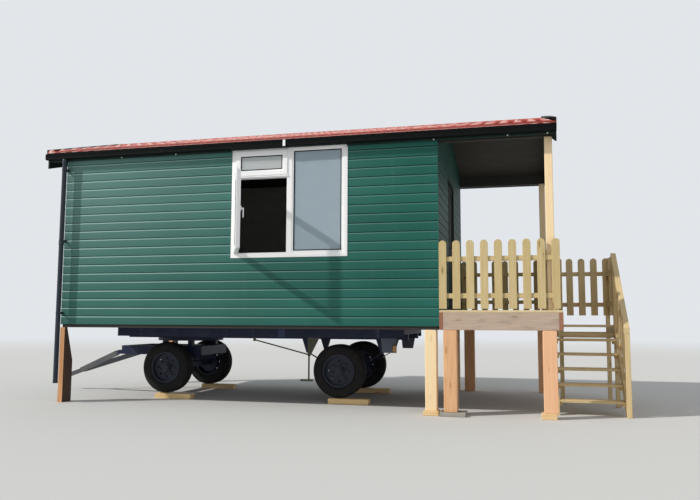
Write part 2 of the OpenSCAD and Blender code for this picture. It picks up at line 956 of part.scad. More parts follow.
// Sloped board, cut level where it meets the ground
module stringer(x, y0, y1, up) {
  along_x(x, x + stringer_t)
    difference() {
      polygon([
        [y0, nosing(y0) - stringer_down], [y1, nosing(y1) - stringer_down],
        [y1, nosing(y1) + up], [y0, nosing(y0) + up]
      ]);
      rectangle(y0 - over, y1 + over, -stringer_down, 0);
    }
}

module cleats(x) {
  for (k = [1:steps - 2])
    block(x, x + cleat, tread_y(k) + cleat_in, tread_y(k) + (stringer_down - tread_t - cleat) / slope - cleat_in,
      k * riser - tread_t - cleat, k * riser - tread_t);
}

// The left stringer is fixed inside the porch's end beam, the right one between the newels
module stair_stringers() {
  x = porch_x - beam_t;
  color("darkkhaki") {
    stringer(x - stringer_t, tread_y(1) - stringer_t, landing_y0, 0);
    cleats(x);
    stringer(stair_x - newel, newel_y0 + newel, newel_y1, stringer_up);
    cleats(stair_x - newel - cleat);
  }
}

module stair_treads() {
  color("burlywood")
    for (k = [1:steps - 2])
      block(porch_x - beam_t, stair_x - newel, tread_y(k), tread_y(k) + tread_d,
        k * riser - tread_t, k * riser);
}

// Boards on a bearer at each side, with low cross pieces between the bearers
module landing() {
  z1 = landing_top - board_t;
  z0 = z1 - bearer_h;
  y0 = landing_y0 + tread_lap;
  color("burlywood") {
    block(porch_x, stair_x, landing_y0, landing_y1, z1, landing_top);
    for (x = [porch_x, stair_x - beam_t])
      block(x, x + beam_t, y0, landing_y1, z0, z1);
    for (y = [y0, landing_y1 - beam_t])
      block(porch_x + beam_t, stair_x - beam_t, y, y + beam_t, z0, z0 + cross_low);
  }
}

module landing_posts() {
  top = landing_top + landing_gap + picket_h;
  color("burlywood") {
    block(stair_x - newel, stair_x, landing_y1, landing_y1 + newel, 0, top);
    block(porch_x + landing_post_x, porch_x + landing_post_x + newel, landing_y1, landing_y1 + newel, 0, top);
    for (y = [newel_y0, newel_y1])
      along_x(stair_x - newel, stair_x)
        polygon([[y, 0], [y + newel, 0], [y + newel, rail_under(y + newel)], [y, rail_under(y)]]);
  }
}

module landing_fence() {
  len = stair_w - landing_post_x;
  lead = len - (landing_pickets - 1) * picket_pitch - picket_w;
  color("khaki")
    translate([porch_x + landing_post_x, landing_y1 - picket_t - rail_t, landing_top + landing_gap])
      fence(len, lead);
}

// Handrail with its pickets, and the fence on the landing's open side
module stair_railing() {
  x = stair_x - newel + stringer_t;
  y0 = newel_y0 + newel;
  count = floor((newel_y1 - y0) / picket_pitch);
  pitch = (newel_y1 - y0) / count;
  color("khaki") {
    along_x(stair_x - handrail_w, stair_x)
      polygon([
        [newel_y0, rail_under(newel_y0)], [landing_y0, rail_under(landing_y0)],
        [landing_y0, rail_top(landing_y0)], [newel_y0, rail_top(newel_y0)]
      ]);
    for (i = [0:count - 1])
      along_x(x, x + picket_t) railing_picket(y0 + (i + 0.5) * pitch - picket_w / 2);
    translate([stair_x, landing_y0, landing_top + landing_gap])
      rotate([0, 0, 90]) fence(landing_d - picket_t - rail_t);
  }
}

module railing_picket(y) {
  polygon([
    [y, nosing(y) - picket_lap], [y + picket_w, nosing(y + picket_w) - picket_lap],
    [y + picket_w, rail_top(y + picket_w) - handrail_h / 2], [y, rail_top(y) - handrail_h / 2]
  ]);
}

// Legs

module plank_legs() {
  color("peru")
    both_sides()
      along_x(left_x, left_x + plank_leg_w)
        polygon([
          [-half, 0], [plank_leg_d - half, 0], [plank_leg_d - half, plank_leg_cut],
          [plank_leg_top - half, floor_low], [-half, floor_low]
        ]);
}

module front_leg(x, w, z) {
  block(x, x + w, -half, w - half, z, floor_low);
}

module post_legs() {
  color("sandybrown") {
    front_leg(hut_leg_x, hut_leg, pad_t);
    front_leg(porch_leg_x0, porch_leg, paver_t);
    front_leg(porch_leg_x1, porch_leg, block_t);
    mirror([0, 1, 0]) {
      front_leg(hut_leg_x, hut_leg, 0);
      front_leg(porch_leg_x0, porch_leg, 0);
      front_leg(porch_leg_x1, porch_leg, 0);
    }
  }
}

// Slab of side w and thickness t, in the middle of a leg of side leg at x
module foot(x, leg, w, t, shift = 0) {
  translate([x + (leg - w) / 2 - shift, (leg - w) / 2 - half, 0]) cube([w, w, t]);
}

module leg_pads() {
  color("wheat") {
    foot(hut_leg_x, hut_leg, pad_w, pad_t);
    foot(porch_leg_x1, porch_leg, block_w, block_t, block_shift);
  }
}

module leg_paver() {
  y = -half - paver_front;
  color("gray") block(right_x, right_x + paver_w, y, y + paver_d, 0, paver_t);
}

module wheel_planks() {
  color("wheat")
    both_sides()
      for (x = [axle_f, axle_r])
        block(x + plank_shift - plank_l / 2, x + plank_shift + plank_l / 2,
          -wheel_y - plank_front, plank_w - plank_front - wheel_y, 0, plank_t);
}

// Wagon

module chassis_rails() {
  low = floor_low - side_rail_h;
  color("midnightblue")
    both_sides()
      along_x(chassis_x0, chassis_x1)
        difference() {
          translate([-rail_out, low]) square([side_rail_w, side_rail_h]);
          translate([rail_web - rail_out, low + rail_web]) square([side_rail_w, side_rail_h - 2 * rail_web]);
        }
}

// Plate under each rail near its end
module tail_brackets() {
  x = chassis_x1 - tail_x;
  low = floor_low - side_rail_h;
  color("midnightblue")
    both_sides()
      along_y(-rail_out, rail_web - rail_out)
        polygon([
          [x - tail_w, low], [x - tail_w + tail_slant, low - tail_h],
          [x - tail_cut, low - tail_h], [x, low]
        ]);
}

// Bracket under the near rail with a pull rod, and a drop rod on a foot
module brake_linkage() {
  x = axle_r - brake_x;
  y = side_rail_w / 2 - rail_out;
  low = floor_low - side_rail_h;
  pivot = low - brake_down + rod_lap;
  arm = brake_arm / 2;
  x1 = x - brake_l;
  z1 = pivot + brake_drop - rod_lap;
  foot = x - brake_foot_in;
  color("midnightblue") {
    along_y(y - hanger_t / 2, y + hanger_t / 2) {
      polygon([
        [x - arm, low], [x - arm + brake_w, low],
        [x + arm, low - brake_down], [x - arm, low - brake_down]
      ]);
      polygon([[x1 - arm, low], [x1 + arm, low], [x1 + arm, z1], [x1 - arm, z1]]);
    }
    translate([x, y, pivot])
      rotate([0, -90 + atan2(brake_drop, brake_l), 0])
        cylinder(r = rod_r, h = sqrt(brake_l * brake_l + brake_drop * brake_drop));
    block(x - rod_r, x + rod_r, y - rod_r, y + rod_r, brake_foot_z + brake_foot_t, pivot);
    block(foot - brake_foot_l / 2, foot + brake_foot_l / 2, y - brake_foot_w / 2, y + brake_foot_w / 2,
      brake_foot_z, brake_foot_z + brake_foot_t);
  }
}

module chassis_beams() {
  y = rail_out - rail_web;
  pitch = (chassis_l - cross_w) / (cross_count - 1);
  color("midnightblue") {
    for (i = [0:cross_count - 1])
      block(chassis_x0 + i * pitch, chassis_x0 + i * pitch + cross_w, -y, y, main_top, floor_low - rail_web);
    both_sides()
      block(chassis_x0, chassis_x1, -main_beam_y - main_beam_w / 2, main_beam_w / 2 - main_beam_y,
        main_low, main_top);
  }
}

module ring(z) {
  translate([axle_f, 0, z])
    difference() {
      cylinder(d = ring_d, h = ring_t);
      translate([0, 0, -over]) cylinder(d = ring_d - 2 * ring_w, h = ring_t + 2 * over);
    }
}

// Fixed ring with a bar across it that carries the kingpin
module turntable_top() {
  r = ring_d / 2 - ring_w / 2;
  pin_low = bogie_top - bolster_h - kingpin_tail;
  color("midnightblue") {
    ring(ring_low);
    block(axle_f - bolster_w / 2, axle_f + bolster_w / 2, -r, r, ring_low, main_low);
    translate([axle_f, 0, pin_low]) cylinder(r = kingpin_r, h = main_low - pin_low);
  }
}

// Turning frame under the ring, with a bored bolster and the lugs of the drawbar hinge
module bogie_frame() {
  y0 = bogie_y - bogie_w / 2;
  stool_x = sqrt(pow(ring_d / 2 - ring_w / 2, 2) - pow(bogie_y, 2));
  color("midnightblue") {
    both_sides() {
      block(bogie_x0, bogie_x1, -bogie_y - bogie_w / 2, -y0, bogie_low, bogie_top);
      for (x = [axle_f - stool_x, axle_f + stool_x])
        block(x - ring_w / 2, x + ring_w / 2, -bogie_y - bogie_w / 2, -y0, bogie_top, lower_ring_low);
      for (y = [-arm_w / 2 - lug_play - lug_t, arm_w / 2 + lug_play])
        along_y(y - bogie_y, y - bogie_y + lug_t) {
          rectangle(drawbar_x, bogie_x0, hinge_h - lug_r, hinge_h + lug_r);
          translate([drawbar_x, hinge_h]) circle(r = lug_r);
        }
      translate([drawbar_x, -bogie_y, hinge_h])
        rotate([90, 0, 0])
          cylinder(r = hinge_pin_r, h = arm_w + 2 * lug_play + 2 * lug_t, center = true);
    }
    block(bogie_x0, bogie_x0 + bogie_w, -y0, y0, bogie_low, bogie_top);
    block(bogie_x1 - bogie_w, bogie_x1, -y0, y0, bogie_low, bogie_top);
    difference() {
      block(axle_f - bolster_w / 2, axle_f + bolster_w / 2, -y0, y0, bogie_top - bolster_h, bogie_top);
      translate([axle_f, 0, bogie_top - bolster_h - over])
        cylinder(r = kingpin_r + pin_play, h = bolster_h + 2 * over);
    }
    ring(lower_ring_low);
  }
}

// Square tube with a spindle at each end
module axle(x) {
  block(x - axle_w / 2, x + axle_w / 2, -hub_in, hub_in, axle_z - axle_w / 2, axle_z + axle_w / 2);
  both_sides()
    translate([x, -hub_in, axle_z])
      rotate([90, 0, 0])
        cylinder(r = spindle_r, h = hub_len - spindle_gap);
}

// Bend of a leaf spring: half its angle, and the height of its middle line's centre
function spring_a(l, r) = asin(l / 2 / r);
function spring_z(r) = axle_z + axle_w / 2 + r + leaves * leaf_t;
function spring_eye_z(l, r) = spring_z(r) - r * cos(spring_a(l, r));

// Bent leaf, drawn round the centre of its bend
module leaf_outline(r0, r1, a) {
  polygon(concat(
    arc(0, 0, r0, 270 - a, 270 + a, leaf_steps),
    arc(0, 0, r1, 270 + a, 270 - a, leaf_steps)
  ));
}

// Pack of bent leaves, the longest at the top, clamped on the axle
module spring(x, y, l, r) {
  a = spring_a(l, r);
  z = axle_z + axle_w / 2;
  w = spring_w / 2;
  block(x - axle_w / 2, x + axle_w / 2, y - w - hanger_t, y + w + hanger_t,
    z, z + (leaves + 1) * leaf_t + hanger_t);
  along_y(y - w, y + w)
    translate([x, spring_z(r)])
      for (i = [0:leaves - 1])
        leaf_outline(r + max(i - 0.5, 0) * leaf_t, r + (i + 1) * leaf_t, a * (leaves - i) / leaves);
}

module eye_pins(x, y, l, r) {
  for (s = [-1, 1])
    translate([x + s * l / 2, y, spring_eye_z(l, r) - leaf_t / 2])
      rotate([90, 0, 0])
        cylinder(r = spring_pin_r, h = spring_w + 2 * hanger_t, center = true);
}

module hangers(x, y, l, r, top, reach) {
  z = spring_eye_z(l, r) - leaf_t / 2 - spring_pin_r;
  w = spring_pin_r + hanger_rim;
  for (s = [-1, 1], t = [-1, 1])
    translate([x + s * l / 2, y + t * (spring_w + hanger_t) / 2 + hanger_t / 2, 0])
      rotate([90, 0, 0])
        linear_extrude(hanger_t)
          polygon([[-reach, top], [reach, top], [w, z], [-w, z]]);
}

module rear_axle() {
  l = rear_spring_l;
  r = rear_spring_r;
  color("midnightblue") {
    axle(axle_r);
    both_sides() {
      spring(axle_r, -main_beam_y, l, r);
      eye_pins(axle_r, -main_beam_y, l, r);
      hangers(axle_r, -main_beam_y, l, r, main_low, rear_hanger);
    }
  }
}

module front_axle() {
  l = front_spring_l;
  r = front_spring_r;
  color("midnightblue") {
    axle(axle_f);
    both_sides() {
      spring(axle_f, -bogie_y, l, r);
      eye_pins(axle_f, -bogie_y, l, r);
      hangers(axle_f, -bogie_y, l, r, bogie_low, front_hanger);
    }
  }
}

// Arms that converge on a shank, laid flat from the hinge towards -X
module drawbar_arms(len) {
  dx = len - shank_l - neck_l;
  dy = bogie_y - shank_w / 2;
  yaw = atan2(dy, dx);
  both_sides() {
    block(-neck_l - arm_w / 2, 0, -bogie_y - arm_w / 2, arm_w / 2 - bogie_y, -lug_r, lug_r);
    translate([0, -bogie_y, 0]) rotate([90, 0, 0]) cylinder(r = lug_r, h = arm_w, center = true);
    translate([-neck_l, -bogie_y, 0])
      rotate([0, 0, -yaw])
        translate([-sqrt(dx * dx + dy * dy), -arm_w / 2, -arm_h / 2])
          cube([sqrt(dx * dx + dy * dy), arm_w, arm_h]);
  }
  block(eye_r - eye_lap - len, shank_l + shank_in - len, -shank_w / 2, shank_w / 2, -lug_r, lug_r);
}

module drawbar() {
  dx = drawbar_x - eye_x;
  dz = hinge_h - eye_h;
  len = sqrt(dx * dx + dz * dz);
  color("slategray")
    difference() {
      union() {
        translate([drawbar_x, 0, hinge_h]) rotate([0, -atan2(dz, dx), 0]) drawbar_arms(len);
        translate([eye_x, 0, eye_h - eye_t / 2]) cylinder(r = eye_r, h = eye_t);
      }
      translate([eye_x, 0, eye_h - eye_t]) cylinder(r = eye_hole_r, h = 2 * eye_t);
      both_sides()
        translate([drawbar_x, -bogie_y, hinge_h])
          rotate([90, 0, 0])
            cylinder(r = hinge_pin_r + pin_play, h = arm_w + 2 * over, center = true);
    }
}

// Wheels

// Outline in radius and width, from its foot between the rim flanges to the tread
module tyre_outline(foot, cut) {
  w = tyre_w / 2 - cut;
  r = tyre_r - cut;
  s = shoulder_r - cut / 2;
  bead = w - bead_in;
  polygon(concat(
    [[foot, bead], [foot, -bead], [flange_r, -bead], [flange_r + bead_in, -w]],
    arc(r - s, s - w, s, -90, 0, shoulder_steps),
    arc(r - s, w - s, s, 0, 90, shoulder_steps),
    [[flange_r + bead_in, w], [flange_r, bead]]
  ));
}

// Tyre and rim are drawn with their outer side towards +Y
module at_wheel(x, side) {
  translate([x, side * wheel_y, axle_z])
    mirror([0, side > 0 ? 0 : 1, 0])
      rotate([-90, 0, 0])
        children();
}

module tyre() {
  color("dimgray")
    rotate_extrude()
      difference() {
        tyre_outline(bead_r, 0);
        tyre_outline(bead_r - over, tyre_wall);
      }
}

// Barrel with two flanges, a dished disc with hand holes, and a bored hub with its cap
module rim() {
  w = tyre_w / 2 - bead_in;
  color("slateblue")
    difference() {
      union() {
        rotate_extrude()
          polygon([
            [flange_r, -w - rim_t], [flange_r, -w], [bead_r, -w], [bead_r, w], [flange_r, w],
            [flange_r, w + rim_t],
            [bead_r - rim_t, w + rim_t], [bead_r - rim_t, -w - rim_t]
          ]);
        translate([0, 0, disc_y]) cylinder(r = bead_r - rim_t / 2, h = rim_t);
        translate([0, 0, -hub_len / 2]) cylinder(r = hub_r, h = hub_len);
        translate([0, 0, hub_len / 2]) cylinder(r = cap_r, h = cap_l);
      }
      translate([0, 0, -hub_len / 2 - over]) cylinder(r = spindle_r + pin_play, h = hub_len + over);
      for (i = [0:hand_holes - 1])
        rotate([0, 0, i * 360 / hand_holes])
          translate([(bead_r + hub_r) / 2, 0, disc_y - over])
            cylinder(r = hand_hole_r, h = rim_t + 2 * over);
    }
}

module front_near_tyre() { at_wheel(axle_f, -1) tyre(); }
module front_near_rim() { at_wheel(axle_f, -1) rim(); }
module front_far_tyre() { at_wheel(axle_f, 1) tyre(); }
module front_far_rim() { at_wheel(axle_f, 1) rim(); }
module rear_near_tyre() { at_wheel(axle_r, -1) tyre(); }
module rear_near_rim() { at_wheel(axle_r, -1) rim(); }
module rear_far_tyre() { at_wheel(axle_r, 1) tyre(); }
module rear_far_rim() { at_wheel(axle_r, 1) rim(); }

placed() floor_frame();
placed() hut_floor();
placed() front_wall();
placed() back_wall();
placed() left_wall();
placed() right_wall();
placed() window_frame();
placed() top_light_sash();
placed() open_casement();
placed() window_glass();
placed() door_frame();
placed() door();
placed() roof_deck();
placed() roof_tiles_front();
placed() roof_tiles_back();
placed() ridge_cap();
placed() verge_flashings();
placed() barge_boards();
placed() fascias();
placed() gutters();
placed() downpipes();
placed() porch_frame();
placed() porch_deck();
placed() roof_posts();
placed() eave_beams();
placed() porch_front_fence();
placed() porch_side_fence();
placed() porch_back_fence();
placed() stair_stringers();
placed() stair_treads();
placed() landing();
placed() landing_posts();
placed() landing_fence();
placed() stair_railing();
placed() plank_legs();
placed() post_legs();
placed() leg_pads();
placed() leg_paver();
placed() wheel_planks();
placed() chassis_rails();
placed() tail_brackets();
placed() brake_linkage();
placed() chassis_beams();
placed() turntable_top();
placed() rear_axle();
placed() bogie_frame();
placed() front_axle();
placed() drawbar();
placed() front_near_tyre();
placed() front_near_rim();
placed() front_far_tyre();
placed() front_far_rim();
placed() rear_near_tyre();
placed() rear_near_rim();
placed() rear_far_tyre();
placed() rear_far_rim();
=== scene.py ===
from math import atan2, cos, pi, radians, sin, tan

import bmesh
import bpy
import numpy as np
from mathutils import Matrix, Vector


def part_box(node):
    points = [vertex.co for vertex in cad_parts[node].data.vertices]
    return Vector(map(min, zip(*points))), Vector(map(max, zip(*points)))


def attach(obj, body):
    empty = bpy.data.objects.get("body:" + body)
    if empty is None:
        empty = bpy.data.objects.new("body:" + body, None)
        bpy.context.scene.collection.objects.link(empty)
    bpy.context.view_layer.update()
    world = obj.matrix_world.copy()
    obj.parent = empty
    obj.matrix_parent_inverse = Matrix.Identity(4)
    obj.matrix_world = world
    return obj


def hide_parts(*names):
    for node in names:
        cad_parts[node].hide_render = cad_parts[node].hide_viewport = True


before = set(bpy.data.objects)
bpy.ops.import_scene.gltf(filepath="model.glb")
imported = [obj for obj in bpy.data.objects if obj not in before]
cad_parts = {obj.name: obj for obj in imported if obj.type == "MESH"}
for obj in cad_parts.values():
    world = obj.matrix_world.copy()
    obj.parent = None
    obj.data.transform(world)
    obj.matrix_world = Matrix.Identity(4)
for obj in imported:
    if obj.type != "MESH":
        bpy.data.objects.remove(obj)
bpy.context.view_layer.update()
chance = np.random.default_rng(11)


# A Wire is a socket of a shader sheet, and sums on it add Math nodes

class Wire:
    def __init__(self, sheet, socket):
        self.sheet, self.socket = sheet, socket

    def calc(self, operation, first, second):  # one Math node on two wires or numbers
        return self.sheet.add("ShaderNodeMath", {"operation": operation}, {0: first, 1: second})

    def __add__(self, other):
        return self.calc("ADD", self, other)

    def __sub__(self, other):
        return self.calc("SUBTRACT", self, other)

    def __rsub__(self, other):
        return self.calc("SUBTRACT", other, self)

    def __mul__(self, other):
        return self.calc("MULTIPLY", self, other)

    def __truediv__(self, other):
        return self.calc("DIVIDE", self, other)

    __radd__, __rmul__ = __add__, __mul__

    def most(self, other):  # the greater of the two
        return self.calc("MAXIMUM", self, other)

    def wave(self):  # 0 to 1, one turn for each 2 pi
        return self.calc("SINE", self, 0.0) * 0.5 + 0.5

    def rise(self, low, high):  # 0 below low, 1 above high, smooth between
        return self.sheet.add("ShaderNodeMapRange", {"interpolation_type": "SMOOTHSTEP"},
                              {"Value": self, "From Min": low, "From Max": high})


def tint(red, green, blue):  # a colour of 0 to 255 as the linear values that nodes use
    parts = np.array([red, green, blue]) / 255
    return (*np.where(parts < 0.04045, parts / 12.92, ((parts + 0.055) / 1.055) ** 2.4).tolist(), 1.0)


# A Finish is a material, or a world, and adds the nodes of its sheet

class Finish:
    def __init__(self, name, world=False):
        self.material = (bpy.data.worlds if world else bpy.data.materials).new(name)
        self.material.use_nodes = True
        self.tree = self.material.node_tree
        self.tree.nodes.clear()

    def add(self, kind, settings=None, feeds=None, out=0):  # any node; out is the socket that is handed back
        node = self.tree.nodes.new(kind)
        for key, value in (settings or {}).items():
            setattr(node, key, value)
        for key, value in (feeds or {}).items():
            if isinstance(value, Wire):
                self.tree.links.new(value.socket, node.inputs[key])
            else:
                node.inputs[key].default_value = value
        return None if out is None else Wire(self, node.outputs[out])

    def place(self):  # object coordinates, in metres
        return self.add("ShaderNodeTexCoord", out="Object")

    def value(self, name):  # a number kept at each point of the mesh
        return self.add("ShaderNodeAttribute", {"attribute_name": name}, out="Fac")

    def vector(self, name):  # three numbers kept at each point
        return self.add("ShaderNodeAttribute", {"attribute_name": name}, out="Vector")

    def axis(self, vector, letter):  # one part of a vector
        return self.add("ShaderNodeSeparateXYZ", feeds={0: vector}, out=letter)

    def scaled(self, vector, x, y, z):  # a vector stretched by its own factor on each axis
        return self.add("ShaderNodeVectorMath", {"operation": "MULTIPLY"}, {0: vector, 1: (x, y, z)})

    def noise(self, vector, scale, detail=3.0, roughness=0.5):  # cloudy values round a half
        return self.add("ShaderNodeTexNoise", feeds={"Vector": vector, "Scale": scale, "Detail": detail,
                                                     "Roughness": roughness})

    def cells(self, vector, scale):  # distance to the nearest of scattered spots
        return self.add("ShaderNodeTexVoronoi", feeds={"Vector": vector, "Scale": scale})

    def mix(self, factor, first, second, blend="MIX"):  # from the first colour to the second
        return self.add("ShaderNodeMix", {"data_type": "RGBA", "blend_type": blend},
                        {0: factor, 6: first, 7: second}, out=2)

    def bump(self, height, strength, distance):  # a normal tilted by the slope of a height
        return self.add("ShaderNodeBump", feeds={"Height": height, "Strength": strength, "Distance": distance})

    def surface(self, **feeds):  # the shader, its output, and the finished material
        names = {"base": "Base Color", "rough": "Roughness", "metal": "Metallic", "normal": "Normal",
                 "coat": "Coat Weight", "coatRough": "Coat Roughness", "alpha": "Alpha", "ior": "IOR",
                 "specular": "Specular IOR Level"}
        shader = self.add("ShaderNodeBsdfPrincipled", feeds={names[key]: value for key, value in feeds.items()})
        self.add("ShaderNodeOutputMaterial", feeds={"Surface": shader}, out=None)
        return self.material


# A Form gathers arrays of points and faces, with values kept at each point

class Form:
    def __init__(self):
        self.points, self.faces, self.finish, self.marks, self.count = [], [], [], [], 0

    def put(self, points, faces, finish=0, **marks):  # marks are values kept at each point
        points = np.asarray(points, float).reshape(-1, 3)
        for face, kind in zip(faces, np.broadcast_to(finish, len(faces))):
            face = np.asarray(face).reshape(-1, np.shape(face)[-1])
            self.faces.append(face + self.count)
            self.finish.append(np.full(len(face), kind))
        self.points.append(points)
        kept = {}
        for key, value in marks.items():
            shape = (len(points), 3) if key == "grain" else (len(points),)
            kept[key] = np.broadcast_to(np.reshape(value, (-1, *shape[1:])), shape)
        self.marks.append(kept)
        self.count += len(points)

    def piece(self, name, wanted, slot, *nodes, body="hut", smooth=35):  # the mesh, tied to body and nodes
        mesh = bpy.data.meshes.new(name)
        points = np.concatenate(self.points)
        sizes = np.concatenate([np.full(len(face), face.shape[1]) for face in self.faces])
        loops = np.concatenate([face.ravel() for face in self.faces])
        mesh.vertices.add(len(points))
        mesh.vertices.foreach_set("co", points.ravel())
        mesh.loops.add(len(loops))
        mesh.loops.foreach_set("vertex_index", loops)
        mesh.polygons.add(len(sizes))
        mesh.polygons.foreach_set("loop_start", np.cumsum(sizes) - sizes)
        mesh.polygons.foreach_set("material_index", np.concatenate(self.finish))
        mesh.update(calc_edges=True)
        for key in sorted({key for marks in self.marks for key in marks}):
            wide = key == "grain"
            blank = [np.zeros((len(part), 3) if wide else len(part)) for part in self.points]
            data = np.concatenate([marks.get(key, none) for marks, none in zip(self.marks, blank)])
            kept = mesh.attributes.new(key, "FLOAT_VECTOR" if wide else "FLOAT", "POINT")
            kept.data.foreach_set("vector" if wide else "value", data.ravel())
        shape = bmesh.new()
        shape.from_mesh(mesh)
        bmesh.ops.recalc_face_normals(shape, faces=shape.faces)
        shape.to_mesh(mesh)
        shape.free()
        mesh.polygons.foreach_set("use_smooth", np.full(len(mesh.polygons), smooth > 0))
        mesh.set_sharp_from_angle(angle=radians(smooth))
        thing = bpy.data.objects.new(name, mesh)
        bpy.context.scene.collection.objects.link(thing)
        for finish in wanted.split():
            mesh.materials.append(finishes[finish])
        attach(thing, body)
        if nodes:
            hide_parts(*nodes)
        print("made", name, len(mesh.polygons), "faces")
        return thing


# Rings of points joined in order: rings[run, station, point], closed at both ends or back to the first
def skin(rings, looped=False):
    runs, stations, around = rings.shape[:3]
    at = np.arange(runs * stations * around).reshape(runs, stations, around)
    near, far = (at, np.roll(at, -1, axis=1)) if looped else (at[:, :-1], at[:, 1:])
    quads = np.stack([near, np.roll(near, -1, axis=2), np.roll(far, -1, axis=2), far], -1).reshape(-1, 4)
    return [quads] if looped else [quads, at[:, 0, ::-1], at[:, -1]]


# Bevelled bars: the section is a rectangle with cut corners, carried from start along a direction,
# smaller by the bevel at both ends, and narrowing on a half circle where the top is round
def bars(form, start, along, across, length, width, thick, bevel=0.004, roundTop=False, finish=0, bow=0.0):
    start, along, across = (np.atleast_2d(np.asarray(part, float)) for part in (start, along, across))
    count = max(len(start), len(along), np.size(length), np.size(width), np.size(thick))
    start, along, across = (np.broadcast_to(part, (count, 3)) for part in (start, along, across))
    length, width, thick = (np.broadcast_to(np.asarray(part, float), (count,)) for part in (length, width, thick))
    through = np.cross(along, across)
    b = np.minimum(bevel, np.minimum(width, thick) * 0.3)
    w, t = width / 2, thick / 2
    u = np.stack([w, w, w - b, b - w, -w, -w, b - w, w - b], 1)
    v = np.stack([b - t, t - b, t, t, t - b, b - t, -t, -t], 1)
    if roundTop:
        angle = np.linspace(0, pi / 2, 9)[:-1]
        at = np.concatenate([np.stack([0 * b, b], 1), (length - w)[:, None] + w[:, None] * np.sin(angle)], 1)
        wide = np.concatenate([np.stack([1 - b / w, np.ones(count)], 1), np.tile(np.cos(angle), (count, 1))], 1)
        deep = np.ones_like(wide)
        deep[:, 0] = deep[:, -1] = 1 - b / t
    else:
        parts = np.linspace(0, 1, 4)
        at = np.concatenate([0 * b[:, None], b[:, None] + (length - 2 * b)[:, None] * parts, length[:, None]], 1)
        wide = np.ones_like(at)
        wide[:, [0, -1]] = (1 - b / w)[:, None]
        deep = np.ones_like(at)
        deep[:, [0, -1]] = (1 - b / t)[:, None]
    arch = bow * chance.uniform(-1, 1, (count, 1)) * np.sin(pi * at / length[:, None])
    u = u[:, None] * wide[..., None]
    v = v[:, None] * deep[..., None] + arch[..., None]
    rings = (start[:, None, None] + at[..., None, None] * along[:, None, None]
             + u[..., None] * across[:, None, None] + v[..., None] * through[:, None, None])
    seed = chance.uniform(0, 40, (count, 3))[:, None, None]
    grain = np.stack(np.broadcast_arrays(at[..., None], u, v), -1) + seed
    tone = np.broadcast_to(chance.uniform(0, 1, count)[:, None, None], u.shape)
    form.put(rings, skin(rings), finish, grain=grain, tone=tone)


# Bars given by their lowest and highest corners, with the grain along one axis
def boxes(form, corners, grainAxis, bevel=0.004, finish=0, bow=0.0):
    corners = np.asarray(corners, float).reshape(-1, 2, 3)
    low, high = corners.min(1), corners.max(1)
    turn = {"x": (0, 1), "y": (1, 2), "z": (2, 0)}[grainAxis]
    unit = np.eye(3)
    third = 3 - turn[0] - turn[1]
    size = high - low
    start = (low + high) / 2
    start[:, turn[0]] = low[:, turn[0]]
    bars(form, start, unit[turn[0]], unit[turn[1]], size[:, turn[0]], size[:, turn[1]], size[:, third],
         bevel, False, finish, bow)


# A piece made of such boxes alone
def blocks(name, corners, grainAxis, bevel, finish, slot, *nodes):
    form = Form()
    boxes(form, corners, grainAxis, bevel)
    form.piece(name, finish, slot, *nodes)


# A flat outline pushed from one x to another, with the grain along a slope in its plane
def cutBoard(form, outline, x0, x1, slope=0.0, finish=0):
    outline = np.asarray(outline, float)
    rings = np.zeros((1, 2, len(outline), 3))
    rings[0, 0, :, 0], rings[0, 1, :, 0] = x0, x1
    rings[0, :, :, 1:] = outline
    run = outline @ np.array([cos(slope), sin(slope)])
    side = outline @ np.array([-sin(slope), cos(slope)])
    seed = chance.uniform(0, 40, 3)
    grain = np.stack(np.broadcast_arrays(run[None], side[None], np.array([[x0], [x1]])), -1) + seed
    form.put(rings, skin(rings), finish, grain=grain, tone=chance.uniform())


# A profile of radius and height turned about an axis, with an optional radius change around it
def turned(form, centre, axis, profile, segments=48, finish=0, change=None, closed=True):
    centre = np.atleast_2d(np.asarray(centre, float))
    axis = np.asarray(axis, float) / np.linalg.norm(axis)
    side = np.cross(axis, [0.0, 0.0, 1.0] if abs(axis[2]) < 0.9 else [1.0, 0.0, 0.0])
    side /= np.linalg.norm(side)
    other = np.cross(axis, side)
    profile = np.asarray(profile, float)
    angle = np.linspace(0, 2 * pi, segments, endpoint=False)
    radius = np.broadcast_to(profile[:, 0], (segments, len(profile)))
    if change is not None:
        radius = radius + change(angle[:, None], profile[None, :, 0], profile[None, :, 1])
    arm = np.cos(angle)[:, None, None] * side + np.sin(angle)[:, None, None] * other
    ring = radius[..., None] * arm + profile[None, :, 1, None] * axis
    rings = centre[:, None, None] + ring[None]
    if closed:
        form.put(rings, skin(rings, looped=True), finish)
    else:
        swapped = np.swapaxes(rings, 1, 2)
        form.put(swapped, skin(swapped), finish)


# Bolt heads or screws: a low turned cap at each point, six-sided or round
def heads(form, points, axis, radius, height, sides=6, finish=0):
    profile = [[radius, 0], [radius, height * 0.75], [radius * 0.82, height], [radius * 0.2, height]]
    turned(form, points, axis, profile, sides, finish, closed=False)


# A profile of inset and depth carried round a rectangle in X and Z with mitred corners
def mitred(form, box4, frontY, profile, finish=0, turn=None):
    x0, x1, z0, z1 = box4
    inset, depth = np.asarray(profile, float).T
    left, right, base, top = x0 + inset, x1 - inset, z0 + inset, z1 - inset
    corners = np.stack([np.stack([x, frontY + depth, z], 1)
                        for x, z in ((left, base), (right, base), (right, top), (left, top))])[None]
    if turn is not None:
        corners = turn(corners)
    form.put(corners, skin(corners, looped=True), finish)


def low(node):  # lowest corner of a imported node's box
    return np.array(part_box(node)[0])


def high(node):  # highest corner
    return np.array(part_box(node)[1])


def ends(node, axis):  # lowest and highest place along one axis, as 0, 1 or 2
    return low(node)[axis], high(node)[axis]


